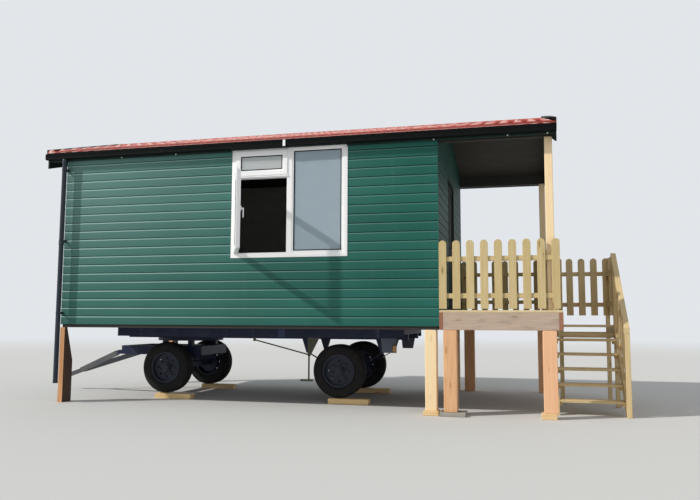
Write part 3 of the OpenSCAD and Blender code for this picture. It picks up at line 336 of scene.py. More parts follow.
hut = dict(left=low("front_wall")[0], right=high("front_wall")[0], front=low("front_wall")[1],
           back=high("back_wall")[1], deck=high("porch_deck")[2], porch=high("porch_deck")[0],
           stair=high("landing")[0], landing=high("landing")[2], wall=0.090, pitch=16.5)
hut["mid"] = (hut["front"] + hut["back"]) / 2
hut["half"] = (hut["back"] - hut["front"]) / 2
slopeTan = tan(radians(hut["pitch"]))
hut["eave"] = high("front_wall")[2] - hut["wall"] * slopeTan


def roofLine(y):  # height of the roof's underside at a place across the hut
    return hut["eave"] + (hut["half"] - np.abs(y - hut["mid"])) * slopeTan


def timberFinish(name, pale, deep, knot, knots=1.0, grey=0.0, greyTint=(150, 140, 130), packed=False):
    # rings along the grain, fine fibres, knots from cells, a tone of its own for each board;
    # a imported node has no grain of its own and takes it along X
    f = Finish(name)
    at = f.place() if packed else f.vector("grain")
    tone = f.noise(f.scaled(at, 0.05, 7, 7), 1.0, 0.0) if packed else f.value("tone")
    slow = f.noise(f.scaled(at, 0.9, 9, 9), 1.0, 2.0)
    streak = f.noise(f.scaled(at, 2.2, 42, 42), 1.0, 4.0, 0.6)
    fibre = f.noise(f.scaled(at, 14, 420, 420), 1.0, 2.0)
    spot = f.cells(f.scaled(at, 2.6, 11, 11), 1.0)
    eye = 1 - spot.rise(0.07, 0.17)
    halo = 1 - spot.rise(0.12, 0.42)
    across = f.axis(at, "Y") + f.axis(at, "Z") * 0.6
    ring = (across * 520 + slow * 34 + halo * 5).wave()
    body = f.mix(ring * 0.34 + streak.rise(0.35, 0.7) * 0.45, tint(*pale), tint(*deep))
    body = f.mix(tone.rise(0.1, 0.95) * 0.3, body, tint(*deep))
    body = f.mix((streak.rise(0.5, 0.75) * 0.5 + tone * 0.5) * grey, body, tint(*greyTint))
    blot = f.noise(f.scaled(at, 3.0, 14, 14), 1.0, 5.0, 0.65).rise(0.50, 0.66)
    body = f.mix(blot * grey * 0.45, body, tint(*[part * 0.72 for part in greyTint]))
    body = f.mix(halo * 0.35 * knots, body, tint(*deep))
    body = f.mix(eye * 0.62 * knots, body, tint(*knot))
    height = ring * 0.25 + fibre * 0.5 + streak * 0.6 - eye * 0.4
    return f.surface(base=body, rough=0.56 + streak * 0.22, normal=f.bump(height, 0.35, 0.0012))


def claddingFinish():
    # satin paint: brush streaks along the boards, a painted sheen towards the sunny upper left, painted highlights
    # on the scoops below painted shadow lines under each lip, and painted shade on the wall that the porch shelters
    f = Finish("satin_green_paint")
    at = f.vector("grain")
    x, y, z = (f.axis(f.place(), letter) for letter in "XYZ")
    slow = f.noise(f.place(), 0.7, 3.0)
    brush = f.noise(f.scaled(at, 3, 260, 260), 1.0, 3.0, 0.6)
    run = f.noise(f.scaled(f.place(), 9, 9, 0.7), 1.0, 4.0)
    share = f.value("rise")
    # painted shadow: a dark line at the top of each scoop, under the lip of the board above
    lipShadow = share.rise(0.915, 0.930)
    # painted highlight: a pale band on the scoop of each board, where it faces up into the light
    wearAndHighlight = share.rise(0.800, 0.815) * (1 - share.rise(0.895, 0.915))
    # painted sheen: the boards lighter towards the upper left, where the sun grazes them
    graded = 1 - x.rise(-4.5, 2.2)
    paintedSheen = graded * (0.32 + z.rise(1.3, 3.2) * 0.68)
    # painted shade on the outer face of the right wall, under the porch roof
    porchShade = x.rise(hut["right"] - 0.03, hut["right"] - 0.015) * y.rise(hut["front"] + 0.02, hut["front"] + 0.03)
    body = f.mix(slow.rise(0.3, 0.7) * 0.55 + f.value("tone") * 0.45, tint(32, 91, 81), tint(43, 106, 95))
    body = f.mix(brush.rise(0.45, 0.8) * 0.22, body, tint(24, 74, 65))
    # painted sheen towards the sunny upper left
    body = f.mix(paintedSheen * 0.70, body, tint(116, 148, 144))
    body = f.mix(run.rise(0.55, 0.8) * 0.14, body, tint(84, 126, 114))
    # painted highlight on the scoops, stronger where the painted sheen lies at the left
    body = f.mix(wearAndHighlight * (0.14 + graded * 0.72), body, tint(166, 202, 194))
    # painted shadow under each board's lip
    body = f.mix(lipShadow * 0.90, body, tint(8, 32, 26))
    # painted shade on the wall under the porch
    body = f.mix(porchShade * 0.60, body, tint(10, 34, 29))
    return f.surface(base=body, rough=0.50 + brush * 0.14, normal=f.bump(brush * 0.5 + slow * 0.2, 0.22, 0.0008),
                     specular=0.15)


def liningFinish():
    # pale unpainted boards with streaks along their length
    f = Finish("raw_lining")
    at = f.vector("grain")
    streak = f.noise(f.scaled(at, 2, 40, 40), 1.0, 4.0)
    body = f.mix(streak * 0.6 + f.value("tone") * 0.4, tint(206, 212, 204), tint(226, 230, 222))
    return f.surface(base=body, rough=0.8, normal=f.bump(streak, 0.3, 0.001))


def paintFinish(name, coat, chip, rust=0.5, rough=0.42, dust=0.25, dustTint=(120, 108, 92), metal=0.0, shine=0.5):
    # old paint: cloudy coat, rust that breaks through in specks and runs, dust in cloudy patches
    f = Finish(name)
    at = f.place()
    cloud = f.noise(at, 3.0, 4.0)
    speck = f.noise(at, 34.0, 6.0, 0.7)
    run = f.noise(f.scaled(at, 16, 16, 1.5), 1.0, 4.0)
    wearAndHighlight = (speck.rise(0.58, 0.66) * 0.7 + (run * speck).rise(0.30, 0.40) * 0.8).rise(0.05, 0.9) * rust
    body = f.mix(cloud, tint(*coat), tint(*[min(255, part * 1.22 + 4) for part in coat]))
    body = f.mix(wearAndHighlight, body, tint(*chip))
    body = f.mix(cloud.rise(0.4, 0.75) * dust, body, tint(*dustTint))
    return f.surface(base=body, rough=rough + wearAndHighlight * 0.4 + cloud * 0.1, metal=metal, specular=shine,
                     normal=f.bump(speck * 0.4 + wearAndHighlight * -0.5, 0.25, 0.0012))


def plasticFinish(name, colour, rough=0.34, grime=0.15, grimeTint=(120, 116, 104), coat=0.0, shine=0.5):
    # one even colour under a film of grime and faint runs
    f = Finish(name)
    at = f.place()
    film = f.noise(at, 5.0, 5.0, 0.6)
    fine = f.noise(at, 160.0, 2.0)
    run = f.noise(f.scaled(at, 18, 18, 1.2), 1.0, 3.0)
    dirt = (film.rise(0.45, 0.8) * 0.6 + run.rise(0.55, 0.8) * 0.4) * grime
    return f.surface(base=f.mix(dirt, tint(*colour), tint(*grimeTint)), rough=rough + film * 0.12, coat=coat,
                     normal=f.bump(fine, 0.05, 0.0004), specular=shine)


def roofFinish():
    # coated tile sheet: painted highlights on the crowns and along each course's lower edge, painted shade in the
    # pans, run-off streaks and pale lichen
    f = Finish("red_tile_sheet")
    at = f.place()
    cloud = f.noise(at, 1.6, 4.0)
    grit = f.noise(at, 240.0, 3.0)
    run = f.noise(f.scaled(at, 14, 1.1, 1.1), 1.0, 4.0)
    spot = 1 - f.cells(at, 22.0).rise(0.10, 0.22)
    lichen = spot * f.noise(at, 4.0, 3.0).rise(0.52, 0.66)
    body = f.mix(cloud.rise(0.3, 0.7), tint(178, 76, 66), tint(196, 92, 82))
    # painted highlight: the crowns of the waves lighter where they catch the sun
    body = f.mix(f.value("crown") * 0.45, body, tint(236, 156, 144))
    # painted shade: the pans between the waves darker
    body = f.mix((1 - f.value("crown")).rise(0.62, 0.95) * 0.66, body, tint(104, 42, 38))
    # painted highlight: a pale line on the crowns along each course's lower edge
    body = f.mix(f.value("lip") * f.value("crown").rise(0.35, 0.8) * 0.75, body, tint(250, 222, 214))
    body = f.mix(run.rise(0.5, 0.75) * 0.30, body, tint(150, 64, 56))
    body = f.mix(lichen * 0.35, body, tint(190, 170, 140))
    return f.surface(base=body, rough=0.46 + grit * 0.2, normal=f.bump(grit, 0.2, 0.0008), specular=0.3)


def tyreFinish():
    # near-black rubber with dust lying in cloudy patches
    f = Finish("dusty_rubber")
    at = f.place()
    cloud = f.noise(at, 6.0, 5.0, 0.6)
    fine = f.noise(at, 90.0, 4.0, 0.6)
    body = f.mix(cloud, tint(19, 19, 21), tint(30, 29, 29))
    body = f.mix(cloud.rise(0.42, 0.75) * 0.28 * fine.rise(0.3, 0.6), body, tint(76, 70, 62))
    return f.surface(base=body, rough=0.72 + cloud * 0.15, normal=f.bump(fine, 0.25, 0.001), specular=0.25)


def glassFinish():
    # painted sky reflection on the shut panes, a paler painted reflection in the top light, and clear where the
    # sash stands out
    f = Finish("window_pane")
    haze = f.noise(f.place(), 2.0, 3.0)
    x, y, z = (f.axis(f.place(), letter) for letter in "XYZ")
    # the top light takes a paler painted reflection
    topLight = z.rise(3.19, 3.21) * (1 - x.rise(0.05, 0.10))
    # painted reflection of the sky: a blue-grey tint on the shut panes
    body = f.mix(haze, tint(158, 177, 188), tint(172, 189, 198))
    body = f.mix(topLight, body, tint(214, 220, 220))
    shut = y.rise(hut["front"] - 0.02, hut["front"])
    return f.surface(base=body, rough=0.06 + haze * 0.03, alpha=0.20 + shut * 0.54, specular=0.8)


def stoneFinish():
    # cloudy grey with pits and grit
    f = Finish("pressed_concrete")
    at = f.place()
    cloud = f.noise(at, 7.0, 5.0)
    grit = f.noise(at, 150.0, 3.0)
    pit = 1 - f.cells(at, 90.0).rise(0.08, 0.2)
    body = f.mix(cloud, tint(146, 142, 134), tint(176, 170, 160))
    body = f.mix(pit * 0.5 + grit.rise(0.5, 0.8) * 0.25, body, tint(98, 92, 84))
    return f.surface(base=body, rough=0.9, normal=f.bump(grit * 0.6 - pit * 0.6, 0.5, 0.002))


finishes = dict(
    green=claddingFinish(),
    lining=liningFinish(),
    fencePine=timberFinish("fence_pine", (212, 194, 147), (186, 158, 101), (114, 74, 42)),
    deckPine=timberFinish("deck_pine", (240, 224, 180), (208, 181, 130), (124, 90, 58), grey=0.30,
                          greyTint=(176, 166, 150)),
    stairPine=timberFinish("stair_pine", (230, 208, 160), (198, 170, 116), (116, 82, 48), grey=0.22,
                           greyTint=(172, 160, 138)),
    weathered=timberFinish("weathered_beam", (208, 185, 162), (173, 146, 123), (108, 79, 60), grey=0.70,
                           greyTint=(174, 162, 152)),
    creamPost=timberFinish("cream_post", (252, 230, 190), (244, 208, 156), (176, 126, 78), knots=0.5),
    orangePost=timberFinish("orange_post", (236, 188, 142), (210, 154, 108), (138, 86, 52), knots=0.8),
    salmonPost=timberFinish("salmon_post", (249, 201, 160), (230, 173, 129), (156, 100, 68), knots=0.5),
    orangePlank=timberFinish("orange_plank", (220, 166, 118), (190, 132, 84), (112, 66, 38)),
    # dark copy of the plank pine: painted shade for the sides of the plank legs
    brownPlank=timberFinish("plank_side_shade", (86, 63, 47), (61, 44, 33), (48, 32, 24), grey=0.2,
                            greyTint=(92, 78, 66)),
    beamEnd=timberFinish("reddish_beam", (168, 116, 88), (136, 88, 64), (84, 50, 34)),
    palePad=timberFinish("pale_pad", (244, 216, 166), (216, 179, 121), (130, 88, 50)),
    floorWood=timberFinish("floor_wood", (140, 112, 84), (100, 76, 54), (60, 42, 30), packed=True),
    # very dark copy of the timber: painted shade on the floor frame under the hut
    shadedFrameWood=timberFinish("frame_wood", (44, 38, 33), (30, 26, 23), (20, 17, 15), packed=True),
    # very dark copies of the timber: painted shade on the porch ceiling and on the eave beams
    shadedRoofWood=timberFinish("roof_boards", (64, 61, 54), (45, 42, 37), (34, 31, 28), packed=True),
    shadedEaveWood=timberFinish("eave_wood", (50, 49, 42), (36, 34, 30), (25, 23, 20), packed=True),
    darkTrim=paintFinish("dark_trim_paint", (18, 26, 26), (52, 46, 40),
                         rust=0.08, rough=0.50, dust=0.08, shine=0.2),
    darkDoor=paintFinish("dark_door_paint", (17, 30, 25), (60, 52, 44),
                         rust=0.05, rough=0.60, dust=0.06, shine=0.05),
    fascia=paintFinish("green_fascia_paint", (20, 40, 34), (60, 52, 44),
                       rust=0.05, rough=0.52, dust=0.06, shine=0.2),
    gutter=plasticFinish("black_gutter", (11, 14, 15), rough=0.50, grime=0.10, grimeTint=(48, 48, 45),
                         shine=0.10),
    pipe=plasticFinish("grey_pipe", (38, 48, 58), rough=0.40, grime=0.12, shine=0.3),
    white=plasticFinish("white_window_plastic", (250, 250, 250), rough=0.26, grime=0.07,
                        grimeTint=(176, 172, 158)),
    gasket=plasticFinish("black_seal", (14, 14, 15), rough=0.6, grime=0.1, shine=0.1),
    glass=glassFinish(),
    tiles=roofFinish(),
    chassis=paintFinish("navy_chassis_paint", (20, 30, 56), (62, 46, 38), rust=0.35, dust=0.08, shine=0.3),
    rim=paintFinish("navy_rim_paint", (28, 33, 48), (66, 54, 50), rust=0.30, rough=0.44, dust=0.14,
                    dustTint=(86, 86, 90), shine=0.3),
    joint=paintFinish("blue_joint_plates", (44, 56, 88), (72, 58, 48), rust=0.35, rough=0.5, dust=0.15),
    bracket=paintFinish("blue_grey_bracket", (70, 80, 96), (84, 70, 60), rust=0.30, rough=0.5, dust=0.15),
    rod=paintFinish("olive_rod_paint", (62, 64, 50), (86, 66, 46), rust=0.55, rough=0.5, dust=0.25),
    amber=plasticFinish("amber_lens", (176, 128, 40), rough=0.18, grime=0.3, coat=0.6),
    drawbar=paintFinish("bare_drawbar_steel", (70, 74, 78), (112, 74, 52),
                        rust=0.75, rough=0.5, dust=0.2, metal=0.35),
    rubber=tyreFinish(),
    zinc=paintFinish("zinc_fixings", (168, 172, 176), (130, 110, 90),
                     rust=0.25, rough=0.34, dust=0.1, metal=0.85),
    paver=stoneFinish(),
)
print("finishes ready:", len(finishes))


def dress(finish, *nodes):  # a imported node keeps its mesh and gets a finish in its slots
    for name in nodes:
        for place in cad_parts[name].material_slots:
            place.material = finishes[finish]


cladding = dict(cover=0.1255, thick=0.020, step=0.0075, scoop=0.014, lining=0.140)


# One board's section: outward distance from the board's back, and height over its lower edge
def boardProfile():
    c, t = cladding["cover"], cladding["thick"]
    s, g = cladding["step"], cladding["scoop"]
    return np.array([[0, 0], [t - 0.003, 0], [t - 0.0008, 0.0008], [t, 0.003], [t, c - g],
                     [t - 0.1 * s, c - g * 0.86], [t - 0.45 * s, c - g * 0.62], [t - 0.8 * s, c - g * 0.36],
                     [t - 0.97 * s, c - g * 0.12], [t - s, c], [0, c]])


# A plain board behind it, from the same line inwards, with eased edges
def liningProfile():
    c, t = cladding["lining"], hut["wall"] - cladding["thick"]
    return np.array([[0, 0], [-t + 0.003, 0], [-t, 0.003], [-t, c - 0.003], [-t + 0.003, c], [0, c]])


# Rows of boards split round the holes: each run is start, end, base, and the lowest and highest height kept
def rowsRound(a0, a1, z0, z1, cover, holes=()):
    runs = []
    for k in range(int(np.ceil((z1 - z0) / cover))):
        base = z0 + k * cover
        top = min(cover, z1 - base)
        spans = [(a0, a1, 0.0, top)]
        for left, right, sill, headZ in holes:
            cut = []
            for s0, s1, h0, h1 in spans:
                if right <= s0 or left >= s1 or base + h1 <= sill or base + h0 >= headZ:
                    cut.append((s0, s1, h0, h1))
                    continue
                cut += [(s0, left, h0, h1), (right, s1, h0, h1)]
                if sill > base + h0:
                    cut.append((left, right, h0, sill - base))
                if headZ < base + h1:
                    cut.append((left, right, headZ - base, h1))
            spans = cut
        runs += [(s0, s1, base, h0, h1) for s0, s1, h0, h1 in spans if s1 - s0 > 1e-4]
    return np.array(runs)


# Boards on a wall: the profile is cut at each run's heights, and its ends follow the roof on a gable
def boarding(form, runs, profile, origin, along, out, gableHalf=None, finish=0):
    base, h0, h1 = runs[:, 2, None], runs[:, 3, None], runs[:, 4, None]
    rise = np.clip(profile[None, :, 1], h0, h1)
    z = base + rise
    ends = np.repeat(runs[:, :2, None], len(profile), 2)
    if gableHalf is not None:
        apex = roofLine(hut["mid"])
        z = np.minimum(z, apex)
        limit = np.clip((apex - z) / slopeTan, 0.0005, gableHalf)
        ends = np.clip(ends, -limit[:, None], limit[:, None])
    d = np.broadcast_to(profile[None, None, :, 0], ends.shape)
    rings = (np.asarray(origin) + ends[..., None] * np.asarray(along) + d[..., None] * np.asarray(out)
             + np.broadcast_to(z[:, None], ends.shape)[..., None] * np.array([0, 0, 1.0]))
    seed = np.round(runs[:, 2] * 40)[:, None, None] % 37
    grain = np.stack(np.broadcast_arrays(ends + seed, rise[:, None] + seed, d), -1)
    tone = np.broadcast_to((np.sin(runs[:, 2] * 91.7) * 0.5 + 0.5)[:, None, None], ends.shape)
    share = np.broadcast_to((profile[None, None, :, 1] / profile[:, 1].max()), ends.shape)
    form.put(rings, skin(rings), finish, grain=grain, tone=tone, rise=share)


# Each wall is two layers of rows, cladding outside and lining inside, both cut round its opening
def makeWalls():
    t, half = cladding["thick"], hut["half"]
    z0 = low("front_wall")[2]
    windowHole = (*ends("window_frame", 0), *ends("window_frame", 2))
    doorHole = (low("door_frame")[1] - hut["mid"], high("door_frame")[1] - hut["mid"], hut["deck"],
                high("door_frame")[2])
    inner = [hut["left"] + t, hut["right"] - t]
    liningTop = hut["eave"] + hut["wall"] * slopeTan
    sides = (("front_wall", hut["front"], -1, [windowHole]), ("back_wall", hut["back"], 1, []))
    for name, y, out, holes in sides:
        form = Form()
        origin = (0, y - out * t, 0)
        boarding(form, rowsRound(hut["left"], hut["right"], z0, hut["eave"], cladding["cover"], holes),
                 boardProfile(), origin, (1, 0, 0), (0, out, 0))
        boarding(form, rowsRound(*inner, hut["deck"], liningTop, cladding["lining"], holes),
                 liningProfile(), origin, (1, 0, 0), (0, out, 0), finish=1)
        form.piece(name + "_boards", "green lining", "green_boards", name, smooth=20)
    gables = (("left_wall", hut["left"], -1, []), ("right_wall", hut["right"], 1, [doorHole]))
    for name, x, out, holes in gables:
        form = Form()
        origin = (x - out * t, hut["mid"], 0)
        side, deep = half - t, half - hut["wall"]
        apex = roofLine(hut["mid"])
        boarding(form, rowsRound(-side, side, z0, apex, cladding["cover"], holes),
                 boardProfile(), origin, (0, 1, 0), (out, 0, 0), side)
        boarding(form, rowsRound(-deep, deep, hut["deck"], apex, cladding["lining"], holes),
                 liningProfile(), origin, (0, 1, 0), (out, 0, 0), deep, finish=1)
        form.piece(name + "_boards", "green lining", "green_boards", name, smooth=20)


makeWalls()


roof = dict(deck=0.030, seat=0.00005, sheet=0.012, step=0.016, courses=6, waves=40, waveHeight=0.030,
            sheetThick=0.0015, wing=0.170, ridgeUp=0.020, ridgeThick=0.004, ridgeLap=1.85,
            flashing=0.130, flashingSide=0.060, flashingThick=0.003, flashingUp=0.021,
            tileScrew=(0.007, 0.006), capScrew=(0.0065, 0.004), capScrewIn=0.130, capScrewPitch=0.46,
            flashingScrew=(0.0065, 0.003), flashingScrewIn=0.075, flashingScrewPitch=0.38)


# Tile sheet: along the eaves a rounded wave, down the slope one tooth for each course
def makeRoof():
    lean, steep = cos(radians(hut["pitch"])), sin(radians(hut["pitch"]))
    lift = roof["deck"] / lean + roof["seat"]
    x0, x1 = ends("roof_tiles_front", 0)
    reach = high("roof_tiles_back")[1] - hut["mid"]
    course = reach / roof["courses"]
    x = np.linspace(x0, x1, roof["waves"] * 14 + 1)
    part = np.array([0.0, 0.2, 0.4, 0.6, 0.8, 0.93, 0.975, 0.992, 1.0])
    down = (np.arange(roof["courses"])[:, None] + part).ravel() * course
    down[part.size - 1::part.size] -= 0.0004
    tooth = np.tile(part, roof["courses"]) ** 1.3 * roof["step"]
    lip = np.tile((part > 0.95).astype(float), roof["courses"])
    phase = ((x - x0) / (x1 - x0) * roof["waves"]) % 1.0
    crown = (0.5 - 0.5 * np.cos(2 * pi * phase ** 0.72)) ** 1.2
    for name, side in (("roof_tiles_front", -1), ("roof_tiles_back", 1)):
        height = roof["sheet"] * 0.4 + tooth[:, None] + (crown * roof["waveHeight"])[None]
        y = hut["mid"] + side * down
        top = np.stack(np.broadcast_arrays(x[None], y[:, None], roofLine(y)[:, None] + lift + height), -1)
        under = top - [0, 0, roof["sheetThick"]]
        under[-2:, :, 2] = roofLine(y[-2:, None]) + lift
        ring = np.concatenate([top, under[:, ::-1]], 1)
        form = Form()
        # the lip and crown marks steer the painted highlights and painted shade of the tile finish
        form.put(ring, skin(ring[None]), 0, lip=np.broadcast_to(lip[:, None], ring.shape[:2]),
                 crown=np.broadcast_to(np.concatenate([crown, crown[::-1]])[None], ring.shape[:2]))
        # a screw on every second wave, just above each lower edge
        crest = x0 + (np.arange(1, roof["waves"], 2) + 0.5) * (x1 - x0) / roof["waves"]
        rows = (np.arange(1, roof["courses"] + 1) - 0.12) * course
        spotX, spotD = (part.ravel() for part in np.meshgrid(crest, rows))
        spotY = hut["mid"] + side * spotD
        spotZ = roofLine(spotY) + lift + roof["sheet"] * 0.4 + 0.85 * roof["step"] + roof["waveHeight"] - 0.001
        heads(form, np.stack([spotX, spotY, spotZ], 1), (0, side * steep, lean), *roof["tileScrew"])
        form.piece(name + "_sheet", "tiles", "tile_sheet", name, smooth=40)
    # ridge cap: two wings with turned-down edges, lapped every couple of metres
    form = Form()
    wing, t = roof["wing"], roof["ridgeThick"]
    edge = lift + (roof["sheet"] + roof["step"] * wing / course) / lean
    crest = lift + (roof["sheet"] + roof["step"]) / lean + roof["ridgeUp"] + t - 0.0045
    half = np.array([[wing, edge], [wing, crest - 0.008], [wing - 0.003, crest - 0.002], [wing - 0.008, crest],
                     [0.060, crest + 0.001], [0.025, crest + 0.0015], [0.008, crest + 0.001]])
    inner = half - t * 0.6
    inner[0, 1] = edge
    outer = np.concatenate([half * [-1, 1], half[::-1]])
    inside = np.concatenate([inner * [-1, 1], inner[::-1]])
    shape = np.concatenate([outer, inside[::-1]])
    shape[:, 1] += roofLine(hut["mid"] + shape[:, 0])
    shape[:, 0] += hut["mid"]
    for k, start in enumerate(np.arange(x0, x1, roof["ridgeLap"])):
        end = min(start + roof["ridgeLap"] + 0.06, x1)
        outline = shape + [0, (k % 2) * 0.0012]
        rings = np.stack([np.column_stack([np.full(len(outline), at), outline]) for at in (start, end)])[None]
        # a crown mark of 0.3 gives the ridge cap a little of the painted highlight
        form.put(rings, skin(rings), 0, crown=0.3)
    at, away = np.arange(x0 + 0.2, x1 - 0.1, roof["capScrewPitch"]), roof["capScrewIn"]
    for side in (-1, 1):
        spots = np.stack([at, 0 * at + hut["mid"] + side * away, 0 * at + roofLine(hut["mid"] + away) + crest], 1)
        heads(form, spots, (0, side * steep, lean), *roof["capScrew"])
    form.piece("ridge_cap_sheet", "tiles", "tile_sheet", "ridge_cap")
    # verge flashings: flat on the tiles at the left end, raised at the porch end, wings down the barge boards
    form = Form()
    t, wide, side = roof["flashingThick"], roof["flashing"], lift - roof["flashingSide"] / lean
    y = hut["mid"] + np.array([-reach, 0.0, reach])
    flat = lift + roof["sheet"] * 0.4 + roof["step"] + roof["waveHeight"] + t
    raised = crest + 0.0030 + roof["flashingUp"] / lean
    for end, inward, up in ((x0, 1, flat), (x1, -1, raised)):
        section = np.array([[-t, side], [-t, up - 0.002], [-t + 0.002, up], [wide - 0.006, up],
                            [wide, up - 0.003], [wide, up - 0.009], [wide - t * 0.6, up - 0.009],
                            [wide - t, up - t], [0, up - t], [0, side]])
        rings = np.stack([np.stack([end + inward * section[:, 0], np.full(len(section), at),
                                    roofLine(at) + section[:, 1]], 1) for at in y])
        form.put(rings, skin(rings[None]))
        screwX = end + inward * roof["flashingScrewIn"]
        spots = [(screwX, hut["mid"] + way * at, roofLine(hut["mid"] + at) + up)
                 for way in (-1, 1) for at in np.arange(0.20, reach - 0.05, roof["flashingScrewPitch"])]
        heads(form, np.array(spots), (0, 0, 1), *roof["flashingScrew"])
    form.piece("verge_flashing_sheet", "darkTrim", "dark_flashing", "verge_flashings")


eaves = dict(wide=0.076, sheet=0.003, joints=(1.9, 3.75, 5.6), jointWide=0.060, bracketFirst=0.30,
             bracketPitch=0.92, bracketWide=0.022, pipe=0.034, socketBelow=0.060, socketLow=2.30, clipIn=0.150,
             clipPlate=0.024, clipScrew=(0.004, 0.003), strap=3.502, strapWide=0.036,
             caps=(0.956, 1.831, 5.556, 6.507, 7.000), cap=(0.009, 0.005))


# Gutter with a rolled front lip, end plates, joint bands and brackets; strap and caps as in the photograph
def makeEaves():
    x0, x1 = ends("gutters", 0)
    z0, z1 = ends("gutters", 2)
    w, t = eaves["wide"], eaves["sheet"]

    def channel(grow):  # outline of distance from the fascia and height, grown outwards at the front and below
        outer = [[0, z1], [0, z0 + 0.010 - grow], [0.008, z0 + 0.003 - grow], [w - 0.016, z0 + 0.003 - grow],
                 [w - 0.006 + grow, z0 + 0.012], [w - 0.003 + grow, z1 - 0.016], [w, z1 - 0.012], [w, z1 - 0.002],
                 [w - 0.008, z1 - 0.001]]
        inner = [[w - 0.008, z1 - 0.012], [w - 0.003 - t, z1 - 0.018], [w - 0.006 - t, z0 + 0.016],
                 [w - 0.018, z0 + 0.003 + t], [0.010, z0 + 0.003 + t], [t, z0 + 0.012], [t, z1]]
        return np.array(outer + inner)

    form, pipes, fittings = Form(), Form(), Form()
    eaveSides = ((-1, hut["front"], low("gutters")[1] + w), (1, hut["back"], high("gutters")[1] - w))
    for side, wallY, face in eaveSides:
        def laid(outline):  # distance and height set out from this fascia
            return np.stack([face + side * outline[:, 0], outline[:, 1]], 1)
        cutBoard(form, laid(channel(0.0)), x0 + t, x1 - t)
        plate = np.array([[0, z1 - 0.001], [0, z0 + 0.003], [w - 0.014, z0 + 0.002], [w - 0.003, z0 + 0.012],
                          [w - 0.001, z1 - 0.001]])
        for start in (x0, x1 - t):
            cutBoard(form, laid(plate), start, start + t)
        for at in eaves["joints"]:
            cutBoard(form, laid(channel(0.0025)), x0 + at, x0 + at + eaves["jointWide"])
        for at in np.arange(eaves["bracketFirst"], x1 - x0 - 0.1, eaves["bracketPitch"]):
            cutBoard(form, laid(channel(0.0015)), x0 + at, x0 + at + eaves["bracketWide"])
        # outlet and pipe sockets, with clips on the wall
        px = sum(ends("downpipes", 0)) / 2
        py = face + side * w / 2
        r = eaves["pipe"]
        sleeve = [[r - 0.004, 0], [r + 0.0035, 0], [r + 0.0035, 0.055], [r + 0.001, 0.062], [r - 0.004, 0.062]]
        for z in (z0 - eaves["socketBelow"], eaves["socketLow"]):
            turned(pipes, [px, py, z], (0, 0, 1), sleeve, 32)
        shoe = low("downpipes")[2]
        turned(pipes, [px, py, shoe + 0.001], (0, 0, 1), [[r - 0.003, 0], [r + 0.002, 0], [r + 0.002, 0.030],
                                                          [r - 0.003, 0.030]], 32)
        zLow, zHigh = low("front_wall")[2] + eaves["clipIn"], low("fascias")[2] - eaves["clipIn"]
        for z in (zLow, (zLow + zHigh) / 2, zHigh):
            band = [[r - 0.003, 0.002], [r + 0.0028, 0.002], [r + 0.0028, 0.026], [r - 0.003, 0.026]]
            turned(pipes, [px, py, z], (0, 0, 1), band, 32)
            plateY, half = wallY + side * 0.004, eaves["clipPlate"]
            boxes(pipes, [[(px - half, wallY, z - 0.002), (px + half, plateY, z + 0.030)]], "x", 0.001)
            spots = [(px + dx, plateY, z + 0.014) for dx in (-0.018, 0.018)]
            heads(fittings, spots, (0, side, 0), *eaves["clipScrew"])
        if side < 0:
            strap0 = hut["left"] + eaves["strap"] - eaves["strapWide"] / 2
            strap1 = strap0 + eaves["strapWide"]
            boxes(fittings, [[(strap0, face - w - 0.001, z0 + 0.004), (strap1, face - w + 0.004, z1 + 0.002)],
                             [(strap0, face - w - 0.001, z1 - 0.001), (strap1, face - 0.002, z1 + 0.003)]],
                  "z", 0.0006, 1)
            spots = [(hut["left"] + cap, face - 0.0005, low("fascias")[2] + 0.012) for cap in eaves["caps"]]
            heads(fittings, spots, (0, -1, 0), *eaves["cap"], 12, 1)
    form.piece("gutter_profiles", "gutter", "black_plastic", "gutters")
    pipes.piece("downpipe_sockets", "pipe", "pipe_plastic")
    fittings.piece("eaves_fittings", "zinc white", "white_plastic")


makeRoof()
makeEaves()
dress("shadedRoofWood", "roof_deck")
dress("darkTrim", "barge_boards")
dress("fascia", "fascias")
dress("pipe", "downpipes")


window = dict(frameFace=0.070, frameDeep=0.070, mullion=0.859, mullionWide=0.080, transom=0.050, topLight=0.335,
              lap=0.012, sashFace=0.066, open=65.0, hinge=(0.0085, 0.080), hingeUp=0.120, hingeDown=0.200,
              stay=0.170, stayWide=0.014, stayThick=0.004, stayIn=0.060, stayTurn=40)


